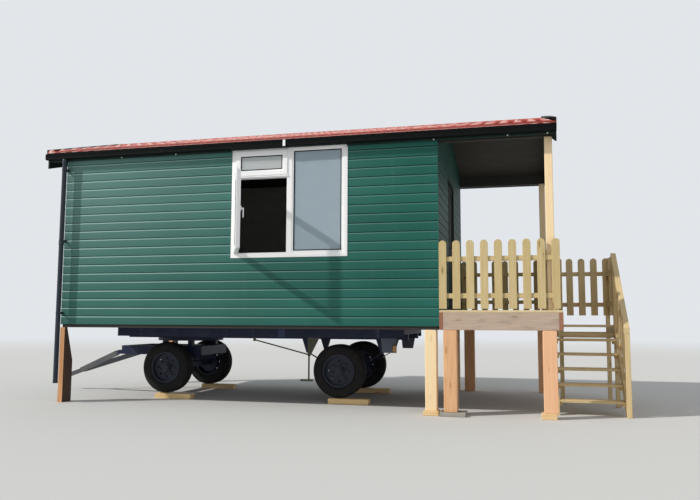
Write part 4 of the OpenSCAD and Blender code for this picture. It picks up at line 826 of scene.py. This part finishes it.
# Profiles of inset and depth run round each light; the open sash is made shut and turned about its hinge
def makeWindow():
    x0, x1 = ends("window_frame", 0)
    z0, z1 = ends("window_frame", 2)
    y = low("window_frame")[1]
    face, deep = window["frameFace"], window["frameDeep"]
    lightX = (x0 + face, x0 + window["mullion"] - window["mullionWide"] / 2)
    paneX = (x0 + window["mullion"] + window["mullionWide"] / 2, x1 - face)
    sill, headZ = z0 + face, z1 - face
    topZ = headZ - window["topLight"]
    railZ = topZ - window["transom"]
    form = Form()
    # outer frame: rounded outer arris, sloped rebate towards the light
    mitred(form, (x0, x1, z0, z1), y, [[0, deep], [0, 0.004], [0.0015, 0.001], [0.004, 0], [face - 0.010, 0],
                                       [face - 0.004, 0.003], [face, 0.010], [face, deep]])
    boxes(form, [[(lightX[1], y, sill - 0.004), (paneX[0], y + deep, headZ + 0.004)],
                 [(lightX[0] - 0.004, y, railZ), (lightX[1] + 0.004, y + deep, topZ)]], "z", 0.005)
    # bead round the fixed pane, its seal, and the seal between frame and boards
    pane = (paneX[0], paneX[1], sill, headZ)
    mitred(form, pane, y, [[0, 0.008], [0.004, 0.006], [0.014, 0.008], [0.018, 0.014], [0.018, 0.0215],
                           [0, 0.0215]])
    mitred(form, pane, y, [[0.0175, 0.0150], [0.0315, 0.0158], [0.0315, 0.0215], [0.0175, 0.0215]], 1)
    grown = (x0 - 0.0004, x1 + 0.0004, z0 - 0.0004, z1 + 0.0004)
    mitred(form, grown, y, [[-0.004, 0.0075], [0.003, 0.0062], [0.003, 0.0095], [-0.004, 0.0095]], 1)
    form.piece("window_frame_profile", "white gasket", "white_plastic", "window_frame")

    def sash(form, box4, turn=None):  # one profile for the sash, and a seal at each side of the glass
        lap, wide = window["lap"], window["sashFace"]
        mitred(form, box4, y, [[-lap, 0], [-lap, -0.010], [-lap + 0.004, -0.014], [wide - 0.016, -0.014],
                               [wide - 0.006, -0.010], [wide, -0.003], [wide, 0.022], [0.020, 0.045],
                               [0.004, 0.045], [0.004, 0]], 0, turn)
        mitred(form, box4, y, [[wide - 0.001, -0.004], [wide + 0.013, -0.0035], [wide + 0.013, 0.0],
                               [wide - 0.001, 0.0]], 1, turn)
        mitred(form, box4, y, [[wide - 0.001, 0.022], [wide + 0.004, 0.022], [wide + 0.004, 0.0255],
                               [wide - 0.001, 0.0255]], 1, turn)

    form = Form()
    # drip ledge between the lights, under the lip of the top sash
    cutBoard(form, [[y - 0.020, railZ + 0.016], [y + 0.002, railZ + 0.016], [y + 0.002, railZ + 0.034],
                    [y - 0.004, railZ + 0.032], [y - 0.020, railZ + 0.024]], lightX[0] - 0.030, lightX[1] + 0.030)
    sash(form, (lightX[0], lightX[1], topZ, headZ))
    form.piece("top_light_profile", "white gasket", "white_plastic", "top_light_sash")

    hinge = np.array([lightX[0] - window["lap"], y])
    angle = -radians(window["open"])
    spin = np.array([[cos(angle), sin(angle)], [-sin(angle), cos(angle)]])

    def swing(points):  # turns points about the hinge line by the opening angle
        points = np.array(points, float)
        points[..., :2] = (points[..., :2] - hinge) @ spin + hinge
        return points

    form = Form()
    sash(form, (lightX[0], lightX[1], sill, railZ), swing)
    # lever handle on the inner face, and stay bars top and bottom
    part = Form()
    hx, hy, hz = lightX[1] - window["sashFace"] / 2, y + 0.045, (sill + railZ) / 2
    boxes(part, [[(hx - 0.013, hy, hz - 0.035), (hx + 0.013, hy + 0.012, hz + 0.035)],
                 [(hx - 0.009, hy + 0.010, hz - 0.009), (hx + 0.009, hy + 0.046, hz + 0.009)],
                 [(hx - 0.010, hy + 0.030, hz - 0.120), (hx + 0.010, hy + 0.045, hz + 0.004)]], "z", 0.004)
    form.put(swing(np.concatenate(part.points)), part.faces)
    r, tall = window["hinge"]
    for z in (sill + window["hingeUp"], railZ - window["hingeDown"]):
        turned(form, [hinge[0], hinge[1] - 0.004, z], (0, 0, 1), [[0.002, 0], [r, 0], [r, tall], [0.002, tall]], 16)
    for z in (sill, railZ - 0.004):
        angleStay = angle - radians(window["stayTurn"])
        along = np.array([cos(angleStay), sin(angleStay), 0])
        across = np.array([-sin(angleStay), cos(angleStay), 0])
        start = np.array([lightX[0] + window["stayIn"], y + 0.045, z + 0.002]) + across * 0.007
        bars(form, start, along, across, window["stay"], window["stayWide"], window["stayThick"], 0.001)
    form.piece("open_casement_profile", "white gasket", "white_plastic", "open_casement")


makeWindow()
dress("glass", "window_glass")


door = dict(rail=0.105, kick=0.180, middle=0.92, middleHalf=0.06, sunk=0.010, lever=1.0, leverIn=0.055,
            leverLong=0.120, plateHalf=0.022, plateUp=0.110, keyDown=0.060)


# Stiles and rails with two panels: rings of inset and depth step down and up again towards the middle
def makeDoor():
    y0, y1 = ends("door", 1)
    z0, z1 = ends("door", 2)
    xi, x = ends("door", 0)
    form = Form()
    rail, deep, half = door["rail"], door["sunk"], door["middleHalf"]
    mid, kick = z0 + door["middle"], z0 + door["kick"]

    def panel(a0, a1, b0, b1):  # sunk panel with a raised middle, on both faces
        for face, inward in ((x, -1), (xi, 1)):
            inset = np.array([0, 0.010, 0.022, 0.060, 0.075])
            sunk = np.array([0, deep, deep, deep, 0.003]) * inward
            ring = np.stack([np.stack([np.full(4, face + d), [a0 + i, a1 - i, a1 - i, a0 + i],
                                       [b0 + i, b0 + i, b1 - i, b1 - i]], 1) for i, d in zip(inset, sunk)])
            quads, _, middle = skin(ring[None])
            form.put(ring, [quads, middle])

    parts = [[(xi, y0, z0), (x, y0 + rail, z1)], [(xi, y1 - rail, z0), (x, y1, z1)],
             [(xi, y0 + rail, z0), (x, y1 - rail, kick)], [(xi, y0 + rail, z1 - rail), (x, y1 - rail, z1)],
             [(xi, y0 + rail, mid - half), (x, y1 - rail, mid + half)]]
    boxes(form, parts, "z", 0.002)
    panel(y0 + rail, y1 - rail, kick, mid - half)
    panel(y0 + rail, y1 - rail, mid + half, z1 - rail)
    form.piece("door_leaf", "darkDoor", "dark_boards", "door")
    form = Form()
    hz, hy = z0 + door["lever"], y1 - door["leverIn"]
    half, up = door["plateHalf"], door["plateUp"]
    boxes(form, [[(x, hy - half, hz - up), (x + 0.008, hy + half, hz + up)]], "z", 0.003)
    heads(form, [(x + 0.006, hy, hz + 0.02)], (1, 0, 0), 0.012, 0.034, 16)
    bars(form, (x + 0.036, hy + 0.012, hz + 0.02), (0, -1, 0), (0, 0, 1), door["leverLong"], 0.020, 0.014, 0.005)
    heads(form, [(x + 0.004, hy, hz - door["keyDown"])], (1, 0, 0), 0.011, 0.012, 16)
    form.piece("door_lever", "zinc", "dark_boards")


makeDoor()
dress("darkDoor", "door_frame")
dress("floorWood", "hut_floor")
dress("shadedFrameWood", "floor_frame")


porch = dict(beam=0.050, board=0.030, boardWide=0.118, boardGap=0.005, joistPitch=0.6, post=0.098, gatePost=0.060)
fence = dict(wide=0.100, thick=0.020, tall=0.890, pitch=0.180, gap=0.017, railHigh=0.064, railThick=0.038,
             lowRail=0.135, topRail=0.613, nail=(0.0035, 0.0016), nailShift=(-0.016, 0.018), jitter=0.004)


# Pickets and rails from a corner: pickets stand on the outer side, with two nails at each rail
def fenceRun(form, nails, corner, along, out, length, lead=0.0):
    corner, along, out = (np.asarray(part, float) for part in (corner, along, out))
    up = np.array([0, 0, 1.0])
    span = length - lead - fence["wide"]
    count = round(span / fence["pitch"])
    at = lead + np.arange(count + 1) * span / count + fence["wide"] / 2
    feet = corner + at[:, None] * along + out * -fence["thick"] / 2
    jitter = chance.uniform(-fence["jitter"], fence["jitter"], len(at))
    bars(form, feet, up, along, fence["tall"] - np.abs(jitter), fence["wide"], fence["thick"], 0.003, True)
    for z in (fence["lowRail"], fence["topRail"]):
        start = corner + up * (z + fence["railHigh"] / 2) - out * (fence["thick"] + fence["railThick"] / 2)
        bars(form, start, along, up, length, fence["railHigh"], fence["railThick"], 0.003)
        for shift in fence["nailShift"]:
            points = feet + out * fence["thick"] / 2 + up * (z + fence["railHigh"] / 2 + shift) + along * shift
            heads(nails, points - out * 0.0008, out, *fence["nail"], 8)


# Beams and joists, deck boards with open joints, roof posts, and fences round three sides
def makePorch():
    x0, x1, beam = hut["right"], hut["porch"], porch["beam"]
    front, back = ends("porch_frame", 1)
    z0, z1 = ends("porch_frame", 2)
    form = Form()
    boxes(form, [[(x, front, z0), (x + beam, back, z1)] for x in (x0, x1 - beam)], "y", 0.003, 1)
    boxes(form, [[(x0 + beam, front, z0), (x1 - beam, front + beam, z1)],
                 [(x0 + beam, back - beam, z0), (x1 - beam, back, z1)]], "x", 0.004, 0)
    bays = int(np.ceil((x1 - x0 - beam) / porch["joistPitch"]))
    joistX = x0 + np.arange(1, bays) * (x1 - x0 - beam) / bays
    boxes(form, [[(x, front + beam, z0), (x + beam, back - beam, z1)] for x in joistX], "y", 0.003, 1)
    form.piece("porch_frame_timbers", "weathered beamEnd", "porch_timber", "porch_frame")
    # deck boards laid along the porch with open joints
    thick, gap, top = porch["board"], porch["boardGap"], hut["deck"]
    count = round((back - front) / (porch["boardWide"] + gap))
    edges = np.linspace(front, back, count + 1)
    boards = [[(x0, a, top - thick), (x1, b - (gap if b < back - 0.01 else 0), top)]
              for a, b in zip(edges[:-1], edges[1:])]
    blocks("porch_deck_boards", boards, "x", 0.004, "deckPine", "deck_timber", "porch_deck")
    # roof posts
    form = Form()
    (px0, px1), (py0, py1), post = ends("roof_posts", 0), ends("roof_posts", 1), porch["post"]
    for py in (py0, py1 - post):
        boxes(form, [[(px0, py, hut["deck"]), (px1, py + post, high("roof_posts")[2])]], "z", 0.006)
    form.piece("roof_post_timbers", "creamPost", "post_timber", "roof_posts")
    nails, deck = Form(), hut["deck"] + fence["gap"]
    length = high("porch_front_fence")[0] - hut["right"]
    for name, out in (("front", -1), ("back", 1)):
        form = Form()
        fenceRun(form, nails, (hut["right"], hut[name], deck), (1, 0, 0), (0, out, 0), length)
        form.piece(f"porch_{name}_pickets", "fencePine", "fence_timber", f"porch_{name}_fence")
    form = Form()
    x = high("porch_side_fence")[0]
    y0, y1 = ends("landing", 1)
    inner = fence["thick"] + fence["railThick"]
    fenceRun(form, nails, (x, hut["front"] + inner, deck), (0, 1, 0), (1, 0, 0), y0 - hut["front"] - inner)
    fenceRun(form, nails, (x, y1, deck), (0, 1, 0), (1, 0, 0), hut["back"] - inner - y1)
    postX, post = x - inner, porch["gatePost"]
    boxes(form, [[(postX - post, y, hut["deck"]), (postX, y + post, deck + fence["tall"])]
                 for y in (y0 - post, y1)], "z", 0.004)
    form.piece("porch_side_pickets", "fencePine", "fence_timber", "porch_side_fence")
    nails.piece("fence_nails", "zinc", "fence_timber")


makePorch()
dress("shadedEaveWood", "eave_beams")

stair = dict(riser=0.192, going=0.208, lap=0.017, tread=0.034, stringer=0.040, up=0.040, down=0.215, newel=0.060,
             newelGap=0.040, newelCap=0.075, rail=0.060, railWide=0.070, railUp=1.030, steps=7, lapPicket=0.090,
             cleat=0.038, cleatIn=0.020, crossLow=0.070, board=0.030, fenceUp=0.142, fenceIn=0.060)


# The nosing line rises one riser for each going, and stringers, railing and pickets follow it
def makeStair():
    x0, x1 = hut["porch"], hut["stair"]
    y0, y1 = ends("landing", 1)
    slope = stair["riser"] / stair["going"]
    angle = atan2(stair["riser"], stair["going"])
    runs = stair["steps"] - 2
    newelY = y0 - runs * stair["going"] - stair["newelGap"] - stair["newel"]
    topNewelY = y0 - stair["newel"]

    def nosing(y):  # height of the line over the fronts of the treads
        return stair["riser"] + (y - y0 + runs * stair["going"]) * slope

    def railTop(y):  # height of the handrail's upper edge
        return nosing(y) + stair["railUp"]

    treadY = y0 - (runs - np.arange(runs)) * stair["going"]
    treadZ = (np.arange(runs) + 1) * stair["riser"]
    inside = x0 - porch["beam"]
    treads = [[(inside, y, z - stair["tread"]), (x1 - stair["newel"], y + stair["going"] + stair["lap"], z)]
              for y, z in zip(treadY, treadZ)]
    blocks("stair_tread_boards", treads, "x", 0.005, "stairPine", "stair_timber", "stair_treads")
    form = Form()
    foot = y0 - runs * stair["going"] + (stair["down"] - stair["riser"]) / slope
    start = newelY + stair["newel"]
    for x, begin, end, up in ((inside - stair["stringer"], treadY[0] - stair["stringer"], y0, 0.0),
                              (x1 - stair["newel"], start, topNewelY, stair["up"])):
        cutBoard(form, [[begin, 0], [foot, 0], [end, nosing(end) - stair["down"]], [end, nosing(end) + up],
                        [begin, nosing(begin) + up]], x, x + stair["stringer"], angle)
    cleat, short, under = stair["cleat"], stair["cleatIn"], treadZ - stair["tread"]
    reach = (stair["down"] - stair["tread"] - cleat) / slope - short
    for x in (inside, x1 - stair["newel"] - cleat):
        boxes(form, [[(x, y + short, z - cleat), (x + cleat, y + reach, z)] for y, z in zip(treadY, under)],
              "y", 0.003)
    form.piece("stair_stringer_boards", "stairPine", "stair_timber", "stair_stringers")
    # landing boards over their bearers
    form = Form()
    top, board, gap = hut["landing"], stair["board"], porch["boardGap"]
    z0 = low("landing")[2]
    edges = np.linspace(y0, y1, 8)
    boxes(form, [[(x0, a, top - board), (x1, b - (gap if b < y1 - 0.01 else 0), top)]
                 for a, b in zip(edges[:-1], edges[1:])], "x", 0.004)
    lead, beam = stair["lap"], porch["beam"]
    boxes(form, [[(x, y0 + lead, z0), (x + beam, y1, top - board)] for x in (x0, x1 - beam)], "y", 0.003)
    boxes(form, [[(x0 + beam, y, z0), (x1 - beam, y + beam, z0 + stair["crossLow"])]
                 for y in (y0 + lead, y1 - beam)], "x", 0.003)
    form.piece("landing_boards", "deckPine", "stair_timber", "landing")
    n, base, fenceX = stair["newel"], hut["landing"] + stair["fenceUp"], x0 + stair["fenceIn"]
    fenceTop, cap = base + fence["tall"], stair["newelCap"]
    posts = [[(x, y1, 0), (x + n, y1 + n, fenceTop)] for x in (x1 - n, fenceX)]
    posts += [[(x1 - n, y, 0), (x1, y + n, railTop(y) - cap)] for y in (newelY, topNewelY)]
    blocks("landing_post_timbers", posts, "z", 0.004, "stairPine", "stair_timber", "landing_posts")
    form, nails = Form(), Form()
    length = x1 - fenceX
    lead = length - 3 * fence["pitch"] - fence["wide"]
    inner = fence["thick"] + fence["railThick"]
    fenceRun(form, nails, (fenceX, y1 - inner, base), (1, 0, 0), (0, -1, 0), length, lead)
    form.piece("landing_pickets", "stairPine", "fence_timber", "landing_fence")
    form = Form()
    rise = stair["rail"] / cos(angle)
    cutBoard(form, [[newelY, railTop(newelY) - rise], [y0, railTop(y0) - rise], [y0, railTop(y0)],
                    [newelY, railTop(newelY)]], x1 - stair["railWide"], x1, angle)
    count = int((topNewelY - start) / fence["pitch"])
    pitch = (topNewelY - start) / count
    px = x1 - stair["newel"] + stair["stringer"] + fence["thick"] / 2
    py = start + (np.arange(count) + 0.5) * pitch
    foot = nosing(py) - stair["lapPicket"] + 0.04
    bars(form, np.stack([np.full(count, px), py, foot], 1), (0, 0, 1), (0, 1, 0), railTop(py) - 0.05 - foot,
         fence["wide"], fence["thick"], 0.003)
    fenceRun(form, nails, (x1, y0, base), (0, 1, 0), (1, 0, 0), y1 - y0 - inner)
    form.piece("stair_railing_timbers", "stairPine", "fence_timber", "stair_railing")
    nails.piece("stair_nails", "zinc", "fence_timber")


makeStair()


legs = dict(plankFoot=0.210, plankTop=0.060, plankStraight=0.6, posts=(0.150, 0.172, 0.172),
            postFeet=(0.060, 0.050, 0.070), padFirst=(-0.025, 0.175), padLast=(-0.032, 0.154),
            padLastY=(-0.007, 0.179), wheelPlank=(0.604, 0.140))


# Plank legs at the left end narrow towards the hut, and square posts stand on pads at the front
def makeLegs():
    x0, x1 = ends("plank_legs", 0)
    top = high("plank_legs")[2]
    form = Form()
    for side, y in ((1, hut["front"]), (-1, hut["back"])):
        foot, narrow = y + side * legs["plankFoot"], y + side * legs["plankTop"]
        cutBoard(form, [[y, 0], [foot, 0], [foot, legs["plankStraight"]], [narrow, top], [y, top]],
                 x0, x1, pi / 2, [0, 1, 1])
    # the faces at both ends along X take the dark copy: painted shade on the plank legs' sides
    form.piece("plank_leg_timbers", "orangePlank brownPlank", "brown_timber", "plank_legs")
    form = Form()
    legX = (low("post_legs")[0], hut["right"] + porch["beam"], high("post_legs")[0] - legs["posts"][-1])
    top = high("post_legs")[2]
    for front in (True, False):
        for k, (x, wide, foot) in enumerate(zip(legX, legs["posts"], legs["postFeet"])):
            y = hut["front"] if front else hut["back"] - wide
            boxes(form, [[(x, y, foot if front else 0), (x + wide, y + wide, top)]], "z", 0.006, k)
    form.piece("post_leg_timbers", "creamPost orangePost salmonPost", "leg_timber", "post_legs")
    y, feet = hut["front"], legs["postFeet"]
    (a0, a1), (b0, b1), (c0, c1) = legs["padFirst"], legs["padLast"], legs["padLastY"]
    pads = [[(legX[0] + a0, y + a0, 0), (legX[0] + a1, y + a1, feet[0])],
            [(legX[2] + b0, y + c0, 0), (legX[2] + b1, y + c1, feet[2])]]
    blocks("leg_pad_timbers", pads, "x", 0.005, "palePad", "pad_timber", "leg_pads")
    blocks("leg_paver_slab", [[low("leg_paver"), high("leg_paver")]], "x", 0.006, "paver", "concrete", "leg_paver")
    form = Form()
    (wide, deep), tall = legs["wheelPlank"], high("wheel_planks")[2]
    for x in (low("wheel_planks")[0], high("wheel_planks")[0] - wide):
        for y in (low("wheel_planks")[1], high("wheel_planks")[1] - deep):
            boxes(form, [[(x, y, 0), (x + wide, y + deep, tall)]], "x", 0.005)
    form.piece("wheel_plank_timbers", "palePad", "pad_timber", "wheel_planks")


makeLegs()


wheel = dict(disc=0.028, plateUp=0.007, nuts=6, nut=(0.0125, 0.016), nutCircle=0.102, nutTurn=0.26, stud=0.007,
             studLong=0.026, blocks=40, blockDeep=0.006, blockShare=0.72)


# Tyre: the section runs from bead over sidewall and tread to the other bead, with ribs and cut shoulders
def makeWheels():
    outer = np.array([[0.2225, 0.085], [0.236, 0.0853], [0.242, 0.0890], [0.250, 0.0965], [0.262, 0.1030],
                      [0.2655, 0.1050], [0.269, 0.1040], [0.285, 0.1068], [0.3, 0.1075], [0.304, 0.1075],
                      [0.307, 0.1062], [0.322, 0.1062], [0.325, 0.1070], [0.334, 0.1055], [0.348, 0.1020],
                      [0.360, 0.0970], [0.369, 0.0920], [0.3765, 0.0860], [0.3815, 0.0800], [0.3848, 0.0730],
                      [0.3858, 0.0700], [0.3792, 0.0690], [0.3792, 0.0610], [0.3862, 0.0600], [0.3868, 0.0420],
                      [0.3800, 0.0410], [0.3800, 0.0330], [0.3868, 0.0320], [0.3870, 0.0080], [0.3806, 0.0070]])
    hollow = np.array([[0.370, 0.0], [0.368, 0.050], [0.350, 0.080], [0.30, 0.0915], [0.245, 0.078],
                       [0.2225, 0.070]])
    flip = [1, -1]
    profile = np.concatenate([outer, outer[::-1] * flip, hollow[:0:-1] * flip, hollow])

    def tread(angle, r, w):  # shoulder blocks: slots cut where the shoulder turns
        slot = np.cos(angle * wheel["blocks"] + np.sign(w) * 1.2) > wheel["blockShare"]
        edge = (np.abs(w) > 0.0705) & (np.abs(w) < 0.0975) & (r > 0.355)
        return -wheel["blockDeep"] * (slot & edge)

    for name, side in (("front_near", -1), ("front_far", 1), ("rear_near", -1), ("rear_far", 1)):
        centre = (low(name + "_tyre") + high(name + "_tyre")) / 2
        body = name + "_wheel"
        form = Form()
        turned(form, centre, (0, side, 0), profile, 160, change=tread)
        form.piece(name + "_tyre_tread", "rubber", "tyre_rubber", name + "_tyre", body=body, smooth=28)
        # plate round the hub with nuts and the ends of their studs
        form = Form()
        face = centre + np.array([0, side * (wheel["disc"] + wheel["plateUp"]), 0])
        turned(form, face, (0, side, 0), [[0.072, 0], [0.126, 0], [0.126, 0.004], [0.122, 0.006], [0.076, 0.006],
                                          [0.072, 0.004]], 48)
        angle = np.arange(wheel["nuts"]) * 2 * pi / wheel["nuts"] + wheel["nutTurn"]
        spots = face + np.stack([np.cos(angle) * wheel["nutCircle"], 0 * angle + side * 0.006,
                                 np.sin(angle) * wheel["nutCircle"]], 1)
        heads(form, spots, (0, side, 0), *wheel["nut"])
        r, tall = wheel["stud"], wheel["studLong"]
        stud = [[r, 0.0], [r, tall - 0.002], [r - 0.002, tall], [0.0, tall], [0.0, 0.0]]
        turned(form, spots, (0, side, 0), stud, 12)
        # brake drum behind the hand holes of the disc
        turned(form, centre, (0, side, 0), [[0.071, -0.058], [0.160, -0.058], [0.165, -0.052], [0.165, 0.012],
                                            [0.150, 0.020], [0.071, 0.020]], 48, 1)
        form.piece(name + "_wheel_nuts", "rim chassis", "rim_paint", body=body)
        dress("rim", name + "_rim")


makeWheels()
dress("rod", "brake_linkage")
dress("bracket", "tail_brackets")
dress("chassis", "chassis_rails", "chassis_beams", "turntable_top", "rear_axle", "bogie_frame", "front_axle")
dress("drawbar", "drawbar")


chassis = dict(joints=((0.833, 0.012), (2.260, 0.012), (2.690, 0.012), (3.155, 0.110), (4.620, 0.024)),
               plate=0.004, springs=(("rear", "hut", 0.490), ("front", "bogie", 0.440)), axleHalf=0.040,
               bolt=(0.011, 0.009), boltIn=0.025, boltUp=0.035, clamp=(0.065, 0.045, 0.010), rod=0.007,
               rodLong=0.158, rodDown=0.034, spread=(0.050, 0.034), nut=(0.013, 0.012),
               lamp=(4.833, 0.746, 0.058, 0.110))


# Joint plates with bolts on the rails, bolts that clamp the springs to the axles, and a lamp at the tail
def makeChassis():
    form, lamp = Form(), Form()
    z0, z1 = ends("chassis_rails", 2)
    t = chassis["plate"]
    for side, y in ((-1, low("chassis_rails")[1]), (1, high("chassis_rails")[1])):
        for at, wide in chassis["joints"]:
            x = hut["left"] + at
            half = wide / 2
            boxes(form, [[(x - half, y - 0.0005 * side, z0 + 0.003), (x + half, y + side * t, z1 - 0.003)]],
                  "z", 0.001)
            reach = max(half - chassis["boltIn"], 0.030)
            spots = [(x + dx, y + side * (t if wide > 0.05 else 0.0), z) for dx in (-reach, reach)
                     for z in (z0 + chassis["boltUp"], z1 - chassis["boltUp"])]
            heads(form, spots, (0, side, 0), *chassis["bolt"])
    form.piece("rail_joint_plates", "joint", "chassis_paint")
    r, tall, (dx, dy), (clampX, clampY, clampZ) = (chassis[key] for key in ("rod", "rodLong", "spread", "clamp"))
    for name, body, offset in chassis["springs"]:
        form = Form()
        x, _, z = (low(name + "_near_tyre") + high(name + "_near_tyre")) / 2
        under = z - chassis["axleHalf"]
        for y in (hut["mid"] - offset, hut["mid"] + offset):
            boxes(form, [[(x - clampX, y - clampY, under - clampZ), (x + clampX, y + clampY, under)]], "x", 0.002)
            foot = under - chassis["rodDown"]
            spots = np.array([(x + a, y + b, foot) for a in (-dx, dx) for b in (-dy, dy)])
            turned(form, spots, (0, 0, 1), [[0, 0], [r, 0], [r, tall], [0, tall]], 12)
            heads(form, spots + [0, 0, 0.012], (0, 0, 1), *chassis["nut"])
        form.piece(name + "_spring_bolts", "chassis", "chassis_paint", body=body)
    x, z, wide, tall = chassis["lamp"]
    x, y = x + hut["left"], low("tail_brackets")[1]
    boxes(lamp, [[(x, y - 0.006, z), (x + wide, y, z + tall)]], "z", 0.002)
    boxes(lamp, [[(x + 0.004, y - 0.028, z + 0.004), (x + wide - 0.004, y - 0.005, z + tall - 0.004)]],
          "z", 0.008, 1)
    lamp.piece("tail_lamp", "gutter amber", "black_plastic")


makeChassis()


studio = dict(floor=(208, 208, 206), backdrop=(226, 230, 234), radius=60, fade=(14, 40), skyStrength=0.56,
              skyColour=(0.93, 0.96, 1.0, 1), sun=2.85, sunAngle=1.5, sunColour=(1.0, 0.97, 0.92),
              sunWay=(2.0, 1.16, -1.62))


# A matt floor that fades into the backdrop with distance, a sky that rays to the eye don't see, and one sun
def makeStage():
    f = Finish("studio_floor")
    backdrop = tint(*studio["backdrop"])
    away = f.add("ShaderNodeVectorMath", {"operation": "LENGTH"}, {0: f.place()}, out="Value")
    matt = f.add("ShaderNodeBsdfDiffuse", feeds={"Color": tint(*studio["floor"])})
    glow = f.add("ShaderNodeEmission", feeds={"Color": backdrop, "Strength": 1.0})
    graded = f.add("ShaderNodeMixShader", feeds={0: away.rise(*studio["fade"]), 1: matt, 2: glow})
    f.add("ShaderNodeOutputMaterial", feeds={"Surface": graded}, out=None)
    bpy.ops.mesh.primitive_circle_add(vertices=96, radius=studio["radius"], fill_type="NGON",
                                      location=(0, 0, -0.0005))
    ground = bpy.context.object
    ground.name = "studio_ground"
    ground.data.materials.append(f.material)
    w = Finish("studio_world", world=True)
    bpy.context.scene.world = w.material
    camera, clear, glossy = (w.add("ShaderNodeLightPath", out=f"Is {ray} Ray")
                             for ray in ("Camera", "Transmission", "Glossy"))
    lit = w.add("ShaderNodeBackground", feeds={"Color": studio["skyColour"], "Strength": studio["skyStrength"]})
    shown = w.add("ShaderNodeBackground", feeds={"Color": backdrop, "Strength": 1.0})
    sky = w.add("ShaderNodeMixShader", feeds={0: camera.most(clear).most(glossy), 1: lit, 2: shown})
    w.add("ShaderNodeOutputWorld", feeds={"Surface": sky}, out=None)
    sun = bpy.data.lights.new("key_sun", "SUN")
    sun.energy, sun.angle, sun.color = studio["sun"], radians(studio["sunAngle"]), studio["sunColour"]
    lamp = bpy.data.objects.new("key_sun", sun)
    bpy.context.scene.collection.objects.link(lamp)
    lamp.rotation_euler = Vector(studio["sunWay"]).to_track_quat("-Z", "Y").to_euler()
    print("stage and sun ready")


view = dict(place=(3.2561, -10.5302, 1.2227), yaw=0.2425, pitch=0.0986, roll=0.0036, lens=36.005, film=36.0,
            far=200)


# The camera looks along yaw and pitch from its place, rolled a little about that line
def makeCamera():
    lens = bpy.data.cameras.new("photo_camera")
    lens.lens, lens.sensor_width, lens.sensor_fit = view["lens"], view["film"], "HORIZONTAL"
    lens.clip_end = view["far"]
    camera = bpy.data.objects.new("photo_camera", lens)
    bpy.context.scene.collection.objects.link(camera)
    yaw, pitch = view["yaw"], view["pitch"]
    forward = Vector((-sin(yaw) * cos(pitch), cos(yaw) * cos(pitch), sin(pitch)))
    turn = forward.to_track_quat("-Z", "Y").to_matrix() @ Matrix.Rotation(view["roll"], 3, "Z")
    camera.matrix_world = Matrix.Translation(view["place"]) @ turn.to_4x4()
    bpy.context.scene.camera = camera
    print("camera ready")


makeStage()
makeCamera()
bpy.context.scene.view_settings.view_transform = "Standard"
